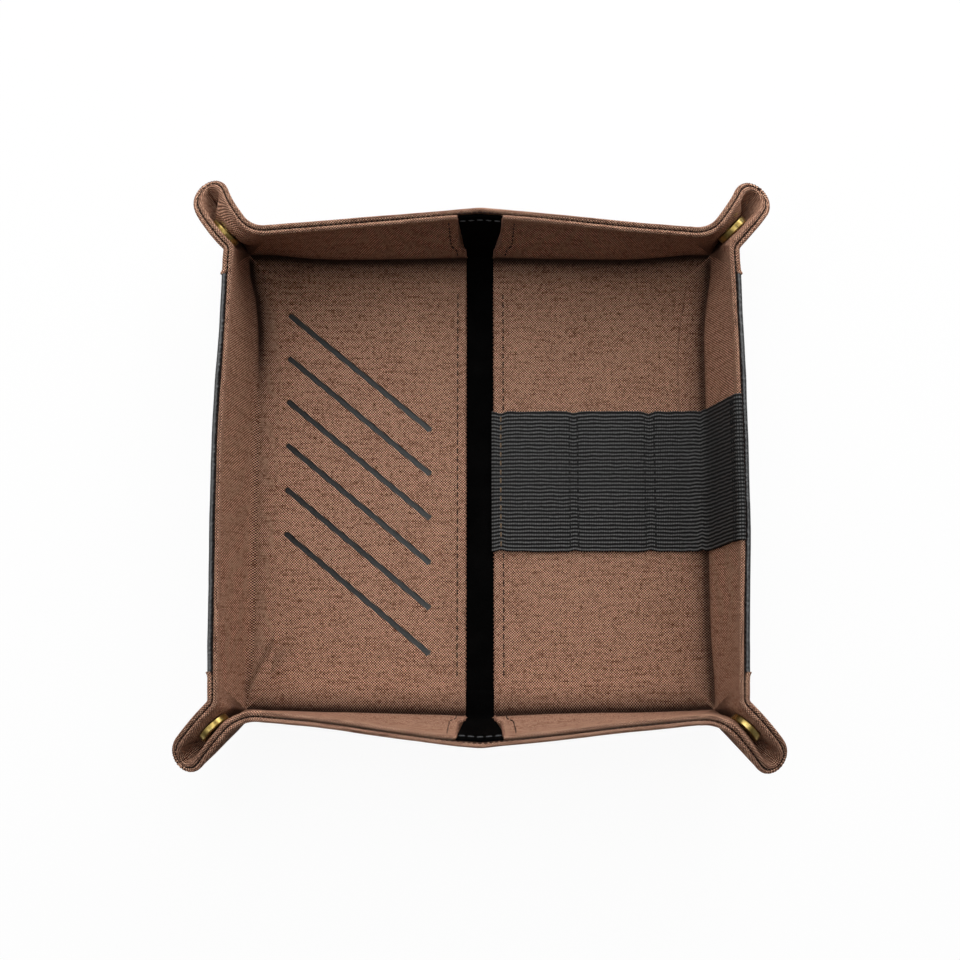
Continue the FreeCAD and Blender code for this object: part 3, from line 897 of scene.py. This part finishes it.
# A sheet of a side wall between two y values, or out to the ears where these are -1 and 1; lip lifts the
# rim of the cover's brown ends where the black middle starts
def sideSheet(sideSign, rows, low, high, spacing, tangent=None, dip=0.0, offset=0.0, lip=0.0):
    def place(step, climb, depth, run):
        limits = [limit if abs(limit) < 1 else limit * sideReach(climb, limit) for limit in (low, high)]
        y = limits[0] + (limits[1] - limits[0]) * step
        crease = sideCrease(y, climb)[0]
        depth -= clothLump(sideSign * (crease + climb) + offset, y)
        if climb > slant - tray["bead"]:
            rise = bell(abs(y) - bandY, lipSet["width"])
            depth += lip * rise * smoothStep((climb - slant + tray["bead"]) / lipSet["fade"])
            climb += lipSet["climb"] * lip * rise
        return sideWall(y, climb, depth, sideSign, tangent, dip * sharp(y)), (sideSign * (crease + run), y)

    def sharp(y):
        return 1.0 if sideSign > 0 else smoothStep((y - sideShade["softEnd"]) / sideShade["softRun"])

    # Painted shade: a line along the crease and shade beside the floor's ridge, fading out at the corners
    # and, on the left wall, lighter towards the front
    def tone(step, climb):
        y = (low + (high - low) * step) * halfDepth
        share = sideShade["right"]
        if sideSign < 0:
            share = sideShade["leftLeast"] + sideShade["leftMore"] * sharp(y)
        share *= smoothStep((1.0 - abs(y) / halfDepth) / sideShade["cornerFade"])
        return max(paintedCreaseShade(climb, share), paintedRidgeShade(sideSign * (halfWidth + climb), y))

    return wrapSheet(stations(0.0, 1.0, spacing), rows, place, tone if dip else None)


bandY = halfDepth - tray["coverEnd"]
for sideName, sideSign in sideSigns.items():
    wall, stiffName = sideName + "_wall", sideName + "WallBoard"
    mesh = sideSheet(sideSign, linerRows, -1, 1, 0.0125, None, tray["dip"])
    liner = finishPiece(sideName + "WallLiner", mesh, weave, wall + "_liner")
    foldWith(liner, wall)
    mesh = sideSheet(sideSign, coverRows, -bandY, bandY, 0.0125, roundings["cover"], 0.0, coverShift)
    cover = finishPiece(sideName + "WallCover", mesh, leatherette, wall + "_cover")
    foldWith(cover, wall, True)
    mesh = sideSheet(sideSign, boardRows, -boardSet["halfLength"], boardSet["halfLength"], 0.02)
    stiff = finishPiece(stiffName, mesh, board, wall + "_board")
    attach(stiff, wall)
    for endName, low, high in (("Front", -1, -bandY), ("Back", bandY, 1)):
        mesh = sideSheet(sideSign, coverRows, low, high, 0.025, roundings["cover"], 0.0, coverShift,
                         lipSet["rise"])
        replaced = [wall + "_cover_ends"] if endName == "Back" else []
        end = finishPiece(sideName + "WallCover" + endName, mesh, weave, *replaced)
        foldWith(end, wall, True)
        foot, head = sideReach(0.0, -1 if endName == "Front" else 1) - bandY, sideRimY - bandY

endCovers = {}
for endName, endSign in endSigns.items():
    wall = endName + "_wall"
    for sideName, sideSign in sideSigns.items():
        half, node = endName + sideName.capitalize(), endName + "_" + sideName
        liner = finishPiece(half + "Liner", endLiner(sideSign, endSign), weave, node + "_liner")
        foldWith(liner, wall)
        endReach(0.0, endSign) - tray["spineHalf"]
        stiff = finishPiece(half + "Board", endBoard(sideSign, endSign), board, node + "_board")
        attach(stiff, wall)
    endCovers[endName] = finishPiece(endName + "Cover", endCover(endSign), weave, endName + "_cover")
    foldWith(endCovers[endName], wall, True)
print("walls made")

earNodes = {"end": "_ear_end_half", "fold": "_ear_fold", "side": "_ear_side_half"}
for corner in corners.values():
    for part, ending in earNodes.items():
        node = corner["name"] + ending
        for skin, depths in (("Liner", linerDepths), ("Cover", coverDepths)):
            replaced = [node] if skin == "Liner" else []
            piece = finishPiece(node + skin, earSheet(corner, part, depths), weave, *replaced)
            openWith(piece, corner, part)
            foot, head = earWidths(corner, part, (depths[0] + depths[1]) / 2)
print("ears made")

# Floor: two liner panels with a hem at the spine, the slit panel's backing, the pile strip and the cover
floorSet = {"thick": 0.0009, "hem": 0.00052, "backingTop": 0.00228, "backingThick": 0.0004,
            "backingX": (-0.0745, -0.0094), "backingY": (-0.0749, 0.0749), "stripTop": 0.00235,
            "stripHalf": 0.0060, "stripThick": 0.001, "stripTuck": 0.0006, "stripCrown": 0.0003,
            "stripOver": 0.0011, "stripArc": 1.5, "stripLump": 0.5, "stripSink": 0.00015,
            "stripHead": 0.0342, "backingFlat": (0.0651, 0.1498), "backingLump": 0.5, "wave": 0.00016,
            "waveScale": 90, "waveEnd": 0.02, "waveRun": 0.015}
slitSet = {"count": 6, "pitch": 0.0158, "angle": 39.5, "wide": 0.00128, "narrow": 0.00098, "spineGap": 0.0126,
           "creaseGap": 0.011, "bottom": 0.0016, "depth": 0.003, "weld": 2e-6, "sharp": 0.8}


# A point of the floor from its share of the way to the side edge and to the front or back edge
def floorPlace(inner, across, along):
    x = inner + (panelSide(along * (apexAt(along).y - flap)) - inner) * across
    return x, along * panelEnd(x, 1 if along > 0 else -1)


def floorPanel(sideSign):
    inner = tray["spineHalf"] + floorSet["hem"]
    tops = stations(0.0, 1.0, 0.02)
    rows = [(across, 0.0, 0.0) for across in reversed(tops)]
    for step in range(1, 6):
        turn = math.pi * step / 6
        rows.append((0.0, -floorSet["hem"] * math.sin(turn), -floorSet["thick"] * (1 - math.cos(turn)) / 2))
    rows += [(across, 0.0, -floorSet["thick"]) for across in tops]

    def place(along, across, hem, drop):
        x, y = floorPlace(inner, across, along)
        x += hem
        wave = floorSet["wave"] * noise.noise(Vector((y * floorSet["waveScale"], sideSign * 5.0, 2.0)))
        wave *= smoothStep((floorSet["waveEnd"] - x) / floorSet["waveRun"])
        height = floorTop + drop + clothLump(sideSign * x, y)
        return Vector((sideSign * (x + wave), y, height)), (sideSign * x, y)

    # Painted shade beside the floor's ridge
    def tone(along, across):
        x, y = floorPlace(inner, across, along)
        return paintedRidgeShade(sideSign * x, y)

    return wrapSheet(stations(-1.0, 1.0, 0.02), rows, place, tone)


def slitCutter(number):
    run = halfWidth - slitSet["creaseGap"] - tray["spineHalf"] - slitSet["spineGap"]
    middle = Vector((-(halfWidth - slitSet["creaseGap"] - run / 2),
                     slitSet["pitch"] * ((slitSet["count"] - 1) / 2 - number), slitSet["bottom"]))
    angle = math.radians(-slitSet["angle"])
    half = run / math.cos(angle) / 2
    cutter = bmesh.new()
    bmesh.ops.create_circle(cutter, cap_ends=True, segments=28, radius=1.0)
    for vert in cutter.verts:
        radius = slitSet["wide"] if vert.co.x > 0 else slitSet["narrow"]
        along = vert.co.x * radius + math.copysign(half - radius, vert.co.x)
        vert.co = Vector((along, vert.co.y * radius, 0.0))
    raised = bmesh.ops.extrude_face_region(cutter, geom=cutter.faces[:])["geom"]
    bmesh.ops.translate(cutter, vec=(0, 0, slitSet["depth"]),
                        verts=[part for part in raised if isinstance(part, bmesh.types.BMVert)])
    bmesh.ops.recalc_face_normals(cutter, faces=cutter.faces)
    bmesh.ops.transform(cutter, matrix=Matrix.Translation(middle) @ Matrix.Rotation(angle, 4, "Z"),
                        verts=cutter.verts)
    return bpy.data.objects.new("slitCutter", meshOf(cutter))


def cutSlits(mesh):
    panel = bpy.data.objects.new("slitPanel", mesh)
    scene.collection.objects.link(panel)
    cutters = [slitCutter(number) for number in range(slitSet["count"])]
    for cutter in cutters:
        scene.collection.objects.link(cutter)
        cut = panel.modifiers.new("slit", "BOOLEAN")
        cut.object, cut.operation, cut.solver = cutter, "DIFFERENCE", "EXACT"
    done = bpy.data.meshes.new_from_object(panel.evaluated_get(bpy.context.evaluated_depsgraph_get()))
    for unused in [panel] + cutters:
        bpy.data.objects.remove(unused)
    cloth = bmesh.new()
    cloth.from_mesh(done)
    bmesh.ops.remove_doubles(cloth, verts=cloth.verts, dist=slitSet["weld"])
    bmesh.ops.holes_fill(cloth, edges=[edge for edge in cloth.edges if edge.is_boundary], sides=0)
    for edge in cloth.edges:
        if len(edge.link_faces) == 2 and edge.calc_face_angle() > slitSet["sharp"]:
            edge.smooth = False
    cloth.to_mesh(done)
    cloth.free()
    return done


# A flat or gently crowned sheet over x and y values
def flatSheet(xs, ys, top, thick, crown):
    def place(y, x, drop):
        return Vector((x, y, top + drop + crown(x, y))), (x, y)

    return wrapSheet(ys, twoFaces(xs, 0.0, -thick), place)


def floorCover(low, high):
    def place(along, across, rise):
        x, y = floorPlace(0.0, abs(across), along)
        return Vector((math.copysign(x, across), y, rise)), (math.copysign(x, across), y)

    rows = twoFaces(stations(-1.0, 1.0, 0.05), 0.0, floorSet["thick"])
    return wrapSheet(stations(low, high, 0.05), rows, place)


insetY = halfDepth - flap
coverShare = bandY / insetY
rightPanel = finishPiece("rightFloorLiner", floorPanel(1), weave, "right_liner")
leftPanel = finishPiece("leftFloorLiner", cutSlits(floorPanel(-1)), weave, "left_liner")
mesh = flatSheet(stations(*floorSet["backingX"], 0.003), stations(*floorSet["backingY"], 0.003),
                 floorSet["backingTop"], floorSet["backingThick"],
                 lambda x, y: floorSet["backingLump"] * clothLump(x, y + 0.5))
backing = finishPiece("slitBacking", mesh, slitSheet, "slit_backing")
baseCover = finishPiece("baseCover", floorCover(-coverShare, coverShare), leatherette, "base_cover")
for piece in (rightPanel, leftPanel, backing, baseCover):
    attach(piece, "base")
turnedUnder = {}
for endName, low, high in (("Front", -1.0, -coverShare), ("Back", coverShare, 1.0)):
    replaced = ["base_cover_ends"] if endName == "Back" else []
    piece = finishPiece("baseCover" + endName, floorCover(low, high), weave, *replaced)
    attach(piece, "base")
    turnedUnder[endName.lower()] = [piece]


# The cover turns under each floor corner, below the ear, as an eighth of a ball
def cornerBoot(corner):
    boot = bmesh.new()
    bmesh.ops.create_uvsphere(boot, u_segments=32, v_segments=16, radius=floorTop)
    for normal in ((-1, 0, 0), (0, -1, 0), (0, 0, 1)):
        trim(boot, 1e-7, (0, 0, 0), normal)
    flat = boot.loops.layers.uv.new("flat")
    for face in boot.faces:
        face.smooth = len(face.verts) < 5
        for loop in face.loops:
            loop[flat].uv = (loop.vert.co.x - loop.vert.co.z, loop.vert.co.y)
    for edge in boot.edges:
        edge.smooth = all(face.smooth for face in edge.link_faces)
    for vert in boot.verts:
        vert.co = mirrored(vert.co + corner["apex"], corner["sign"])
    bmesh.ops.recalc_face_normals(boot, faces=boot.faces)
    return meshOf(boot)


for corner in corners.values():
    piece = finishPiece(corner["name"] + "_boot", cornerBoot(corner), weave)
    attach(piece, "base")
    turnedUnder[corner["end"]].append(piece)
for endName, cover in endCovers.items():
    2 * endReach(0.0, endSigns[endName])

stripEnds = [-panelEnd(0.0, -1), panelEnd(0.0, 1)]


# How far the strip stands proud at its share of the way from its middle to its edge
def stripRise(share, u, v):
    crown = floorSet["stripCrown"] * math.cos(share * floorSet["stripArc"])
    return crown + floorSet["stripLump"] * clothLump(u, v)


def stripCrown(x, y):
    sink = floorSet["stripSink"] if y < stripEnds[0] or y > stripEnds[1] else 0.0
    return stripRise(x / floorSet["stripHalf"], x, y) - sink


stripXs = stations(-floorSet["stripHalf"], floorSet["stripHalf"], 0.001)
stripYs = [stripEnds[0] - floorSet["stripTuck"], *stations(*stripEnds, 0.002),
           stripEnds[1] + floorSet["stripTuck"]]
mesh = flatSheet(stripXs, stripYs, floorSet["stripTop"], floorSet["stripThick"], stripCrown)
strip = finishPiece("spineStrip", mesh, pile, "spine_strip")
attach(strip, "base")


def stripEnd(endSign):
    rows = twoFaces(lowClimbs + highClimbs + [floorSet["stripHead"]], 0.0, floorSet["stripThick"])
    surface = floorTop - floorSet["stripTop"]

    def place(step, climb, depth):
        x = step * (spineEdge(climb) + floorSet["stripOver"])
        flat = (x, endSign * (endCrease(x, climb, endSign)[0] + climb))
        depth = surface + depth - stripRise(step, *flat)
        return endWall(x, climb, depth, endSign, None, tray["dip"]), flat

    return wrapSheet(stations(-1.0, 1.0, 0.08), rows, place)


for endName, endSign in endSigns.items():
    piece = finishPiece(endName + "SpineStrip", stripEnd(endSign), pile, endName + "_spine_strip")
    foldWith(piece, endName + "_wall")
    2 * spineEdge(slant) + 2 * floorSet["stripOver"]
print("floor made")


# Elastic band: ribs run along it, and the sewn lines pull it down between three slightly puffed pockets
def bandPoint(run, y, lift):
    climb = run - halfWidth
    puff = 0.0
    for before, after in zip(band["seams"], band["seams"][1:]):
        if before < run < after:
            puff = band["puff"] * math.sin(math.pi * (run - before) / (after - before)) ** 0.5
    puff *= smoothStep((band["half"] - abs(y)) / band["puffFade"]) * band["puffRise"] + band["puffEdge"]
    lift += band["lift"] + puff
    radius = rim["radius"]
    if climb > slant - radius:
        turn = min(band["mostTurn"], (climb - slant + radius) / (radius + band["turnRadius"]))
        rise = clothLump(halfWidth + slant - radius, y)
        return sideWall(y, slant - radius + (radius + lift) * math.sin(turn),
                        rim["middle"] - rise - (radius + lift) * math.cos(turn), 1, band["bendTangent"])
    return sideWall(y, climb, -(lift + clothLump(halfWidth + climb, y)), 1, band["bendTangent"])


def organizerBand():
    perRib, ribs = 6, round(2 * band["half"] / band["ribPitch"])
    pitch = 2 * band["half"] / ribs
    rows = []
    for step in range(ribs * perRib + 1):
        y = -band["half"] + pitch * step / perRib
        groove = 1 - abs(math.sin(math.pi * step / perRib)) ** band["ribPower"]
        rows.append((y, band["thick"] - band["ribDepth"] * groove))
    rows += [(y, 0.0) for y in stations(band["half"], -band["half"], 0.005)]
    runs = stations(band["start"], halfWidth + slant + band["overRim"], 0.0006)
    edgeLift = band["edgeLift"]

    def place(run, y, lift):
        distance = min(run - runs[0], runs[-1] - run)
        lift = edgeLift + (lift - edgeLift) * edgeFullness(distance, band["edgeRound"]) if lift else 0.0
        wander = noise.noise(Vector((run * band["wanderAlong"], y * band["wanderAcross"], 1.0)))
        near = min(abs(run - seam) for seam in band["seams"])
        drawn = 1.0 - band["draw"] / band["half"] * bell(near, band["drawWidth"])
        drawn -= smoothStep((run - halfWidth) / slant) * band["drawLow" if y < 0 else "drawHigh"]
        return bandPoint(run, y * drawn + band["wander"] * wander, lift), (run, y + band["half"])

    return wrapSheet(runs, rows, place)


bandPiece = finishPiece("organizerBand", organizerBand(), elastic, "organizer_band", "organizer_band_end")
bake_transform(bandPiece)
print("band made")

# Sewing: each stitch is a short plump thread laid along its line, and each kind has its own sizes
sewing = {"rim": {"thread": rimThread, "radius": 0.00024, "pitch": 0.0017, "length": 0.00125,
                  "depth": 0.00158, "drop": 0.00035},
          "loop": {"thread": tanThread, "radius": 0.00022, "pitch": 0.0009, "length": 0.00052,
                   "depth": 0.00048, "drop": 0.00004, "stripGap": 0.0012},
          "seam": {"thread": brownThread, "radius": 0.00026, "pitch": 0.0031, "length": 0.0024},
          "hem": {"thread": tanThread, "radius": 0.00036, "pitch": 0.00145,
                  "ends": ((0.0005, -0.0002), (-0.00022, 0.00055))},
          "tack": {"thread": greyThread, "radius": 0.00026, "pitch": 0.0029, "start": -0.0058, "count": 5,
                   "depth": 0.00036, "ends": ((-0.0011, 0.0322), (0.0011, 0.0320))},
          "band": {"thread": blackThread, "radius": 0.00028, "pitch": 0.0032, "length": 0.0022},
          "bandEnd": {"thread": bandThread, "radius": 0.00028, "pitch": 0.0032, "length": 0.0022}}
batchSize = 20


def stitches(name, ends, kind):
    radius = sewing[kind]["radius"]
    sewn = bmesh.new()
    mesh = bpy.data.meshes.new(name)
    for first in range(0, len(ends), batchSize):
        batch = bmesh.new()
        for start, end in ends[first:first + batchSize]:
            way = end - start
            turn = way.to_track_quat("X", "Z").to_matrix().to_4x4()
            size = Matrix.Diagonal((way.length / 2, radius, radius, 1.0))
            bmesh.ops.create_uvsphere(batch, u_segments=8, v_segments=6, radius=1.0,
                                      matrix=Matrix.Translation((start + end) / 2) @ turn @ size)
        batch.to_mesh(mesh)
        batch.free()
        sewn.from_mesh(mesh)
    for face in sewn.faces:
        face.smooth = True
    sewn.to_mesh(mesh)
    sewn.free()
    return finishPiece(name, mesh, sewing[kind]["thread"])


def alongLine(point, low, high, kind):
    count = max(1, round((high - low) / sewing[kind]["pitch"]))
    share = sewing[kind]["length"] / sewing[kind]["pitch"]
    return [[point(low + (high - low) * (step + 0.5 + hand * share / 2) / count) for hand in (-1, 1)]
            for step in range(count)]


# Along a rim: dark stitches in the groove between its two beads, and the weave's light loops on the beads
def rimSewing(name, point, low, high, coverLoops=True, covered=None):
    dark, loop = sewing["rim"], sewing["loop"]
    groove = alongLine(lambda place: point(place, slant - dark["drop"], dark["depth"]), low, high, "rim")
    depths = (loop["depth"], floorTop - loop["depth"])
    loops = []
    for depth in depths if coverLoops else depths[:1]:
        loops += alongLine(lambda place: point(place, slant - loop["drop"], depth), low, high, "loop")
    if covered:
        loops = [ends for ends in loops if not covered(ends[0])]
    return stitches(name + "RimStitches", groove, "rim"), stitches(name + "RimLoops", loops, "loop")


def underStrip(point):
    return abs(point.x) < spineEdge(slant) and abs(point.y) < spineRim.y + sewing["loop"]["stripGap"]


def underBand(point):
    return point.x > 0 and abs(point.y) < band["half"] + band["loopGap"]


for endName, endSign in endSigns.items():
    for piece in rimSewing(endName, lambda x, climb, depth: endWall(x, climb, depth, endSign), -endRim.x,
                           endRim.x, True, underStrip):
        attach(piece, endName + "_wall")
for sideName, sideSign in sideSigns.items():
    for piece in rimSewing(sideName, lambda y, climb, depth: sideWall(y, climb, depth, sideSign), -sideRimY,
                           sideRimY, False, underBand):
        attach(piece, sideName + "_wall")
for corner in corners.values():
    for part, (first, last) in corner["parts"].items():
        middles = [earPoint(corner, index, slant, sewing["rim"]["depth"]) for index in range(first, last + 1)]
        runs = [0.0]
        for before, after in zip(middles, middles[1:]):
            runs.append(runs[-1] + (after - before).length)

        def along(run, climb, depth):
            index = max(i for i in range(len(runs) - 1) if runs[i] <= run or i == 0)
            ends = [earPoint(corner, first + index + step, climb, depth) for step in (0, 1)]
            return ends[0].lerp(ends[1], (run - runs[index]) / (runs[index + 1] - runs[index]))

        for piece in rimSewing(corner["name"] + "_" + part + "_", along, 0.0, runs[-1]):
            openWith(piece, corner, part)


# Whipped hems along the spine strip: short tan threads that go over the liners' edges
def hemThreads(name, point, low, high, inner):
    ends = []
    for place in stations(low, high, sewing["hem"]["pitch"]):
        for sideSign in (-1, 1):
            ends.append([point(sideSign * (inner(place) + out), place, depth)
                         for out, depth in sewing["hem"]["ends"]])
    return stitches(name, ends, "hem")


# Spine sewing: a seam on each side, the hems, and grey tacks that hold the strip at each rim
spineSet = {"floorSeams": (-0.0080, 0.0083), "floorEnd": insetY - 0.003, "wallSeams": (-0.0031, 0.0041),
            "seamClimbs": (0.004, 0.033), "hemClimbs": (0.003, 0.0345), "proud": 0.00006}
proud = spineSet["proud"]
seam = []
for offset in spineSet["floorSeams"]:
    seam += alongLine(lambda y: Vector((offset, y, floorTop + clothLump(offset, y) + proud)),
                      -spineSet["floorEnd"], spineSet["floorEnd"], "seam")
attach(stitches("spineStitches", seam, "seam"), "base")
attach(hemThreads("spineHems", lambda x, y, depth: Vector((x, y, floorTop - depth)), -insetY, insetY,
                   lambda y: tray["spineHalf"]), "base")
tackDepth = floorTop - floorSet["stripTop"] - sewing["tack"]["depth"]
for endName, endSign in endSigns.items():
    wall = endName + "_wall"
    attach(hemThreads(endName + "SpineHems", lambda x, climb, depth: endWall(x, climb, depth, endSign),
                       *spineSet["hemClimbs"], spineEdge), wall)
    tacks = []
    for number in range(sewing["tack"]["count"]):
        x = sewing["tack"]["start"] + sewing["tack"]["pitch"] * number
        tacks.append([endWall(x + out, climb, tackDepth, endSign) for out, climb in sewing["tack"]["ends"]])
    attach(stitches(endName + "SpineTacks", tacks, "tack"), wall)
    seam = []
    for offset in spineSet["wallSeams"]:
        seam += alongLine(lambda climb: endWall(math.copysign(spineEdge(climb) + abs(offset), offset), climb,
                                                -proud, endSign), *spineSet["seamClimbs"], "seam")
    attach(stitches(endName + "SpineStitches", seam, "seam"), wall)


def bandSeam(name, runs, kind):
    lift, reach = band["thick"] + band["threadLift"], band["half"] - band["threadGap"]
    ends = []
    for run in runs:
        ends += alongLine(lambda y: bandPoint(run, y, lift), -reach, reach, kind)
    return stitches(name, ends, kind)


rimRuns = [halfWidth + climb for climb in band["rimSewing"]]
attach(bandSeam("bandEndStitches", band["endSewing"], "bandEnd"), "base")
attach(bandSeam("bandPocketStitches", band["pocketSewing"], "band"), "base")
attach(bandSeam("bandRimStitches", rimRuns, "band"), "right_wall")
print("stitches made")

# Snap heads: low domes with a rolled edge on the outside of each plate
heads = {"snap_cap": {"radius": 0.0057, "rise": 0.0010}, "snap_rivet": {"radius": 0.0046, "rise": 0.0007}}
headForm = {"cut": -0.25, "power": 0.75}


def snapHead(corner, hand, size):
    dome = bmesh.new()
    bmesh.ops.create_uvsphere(dome, u_segments=40, v_segments=20, radius=1.0)
    trim(dome, 1e-6, (0, 0, headForm["cut"]), (0, 0, -1))
    for face in dome.faces:
        face.smooth = len(face.verts) < 5
    foot = corner["snap"] - earNormal * (corner["snap"] - cadCorner).dot(earNormal)
    foot += earNormal * hand * (ears["studGap"] + floorTop)
    turn = (earNormal * hand).to_track_quat("Z", "Y").to_matrix()
    for vert in dome.verts:
        lift = math.copysign(abs(vert.co.z) ** headForm["power"], vert.co.z) * size["rise"]
        flat = turn @ Vector((vert.co.x * size["radius"], vert.co.y * size["radius"], lift))
        vert.co = mirrored(foot + flat, corner["sign"])
    bmesh.ops.recalc_face_normals(dome, faces=dome.faces)
    return meshOf(dome)


for corner in corners.values():
    for part, hand in (("snap_cap", corner["socketHand"]), ("snap_rivet", -corner["socketHand"])):
        node = corner["name"] + "_" + part
        piece = finishPiece(node + "Head", snapHead(corner, hand, heads[part]), brass, node)
        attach(piece, corner["name"] + ("_end_ear" if hand > 0 else "_side_ear"))

# The sockets, the studs and the floor boards show the solids themselves
for name, node in frame["nodes"].items():
    if "snap_s" in name or "floor_board" in name:
        node.data.materials.clear()
        node.data.materials.append(brass if "snap" in name else board)

# Camera at the photo's viewing angle
cameraSet = {"distance": 0.410, "tilt": 6.8, "lens": 42.94, "aimY": 0.0009, "clip": 0.01}
tilt = math.radians(cameraSet["tilt"])
camera = bpy.data.objects.new("camera", bpy.data.cameras.new("camera"))
camera.data.lens = cameraSet["lens"]
camera.data.clip_start = cameraSet["clip"]
back = Vector((0.0, -math.sin(tilt), math.cos(tilt)))
camera.location = Vector((0.0, cameraSet["aimY"], 0.0)) + back * cameraSet["distance"]
camera.rotation_euler = (-back).to_track_quat("-Z", "Y").to_euler()
scene.collection.objects.link(camera)
scene.camera = camera
scene.view_settings.view_transform = "Standard"

# Floor and light: a white ground that keeps a pale shadow, and soft lights above, left of and behind the tray
groundSet = {"half": 3.0, "drop": 0.0002, "tone": (0.9, 0.9, 0.9, 1.0), "rough": 0.9, "glow": 0.94}
lightSet = {"size": 0.6, "fill": 0.05, "glossyFill": 0.25,
            "lights": {"top": ((0.0, 0.05, 1.0), 2.4), "leftHigh": ((-0.7, 0.0, 0.75), 2.0),
                       "backHigh": ((-0.2, 0.55, 0.85), 3.9), "backRight": ((0.55, 0.65, 0.6), 3.6),
                       "backLow": ((0.2, 0.95, 0.32), 6.0)}}
white = (1.0, 1.0, 1.0, 1.0)


def makeFloor():
    material = bpy.data.materials.new("paleFloor")
    material.use_nodes = True
    tree = material.node_tree
    shader = tree.nodes["Principled BSDF"]
    shader.inputs["Base Color"].default_value = groundSet["tone"]
    shader.inputs["Roughness"].default_value = groundSet["rough"]
    glow = addNode(tree, "Emission", {"Color": white, "Strength": 1.0})[0]
    seen = addNode(tree, "LightPath", {})["Is Camera Ray"]
    share = addMath(tree, "MULTIPLY", seen, groundSet["glow"])
    mix = addNode(tree, "MixShader", {0: share, 1: shader.outputs[0], 2: glow})[0]
    joinTo(tree, mix, tree.nodes["Material Output"].inputs[0])
    ground = bmesh.new()
    bmesh.ops.create_grid(ground, x_segments=1, y_segments=1, size=groundSet["half"])
    bmesh.ops.translate(ground, vec=(0, 0, -groundSet["drop"]), verts=ground.verts)
    floor = bpy.data.objects.new("floor", meshOf(ground))
    floor.data.materials.append(material)
    scene.collection.objects.link(floor)


def makeLight():
    world = bpy.data.worlds.new("studio")
    scene.world = world
    world.use_nodes = True
    tree = world.node_tree
    background = tree.nodes["Background"]
    rays = addNode(tree, "LightPath", {})
    bounced = addFade(tree, rays["Is Glossy Ray"], lightSet["fill"], lightSet["glossyFill"])
    background.inputs["Color"].default_value = white
    joinTo(tree, addFade(tree, rays["Is Camera Ray"], bounced, 1.0), background.inputs["Strength"])
    for name, (place, energy) in lightSet["lights"].items():
        light = bpy.data.objects.new(name, bpy.data.lights.new(name, "AREA"))
        light.data.size = lightSet["size"]
        light.data.energy = energy
        light.location = place
        light.rotation_euler = (-Vector(place)).to_track_quat("-Z", "Y").to_euler()
        scene.collection.objects.link(light)


makeFloor()
makeLight()
print("stage made")
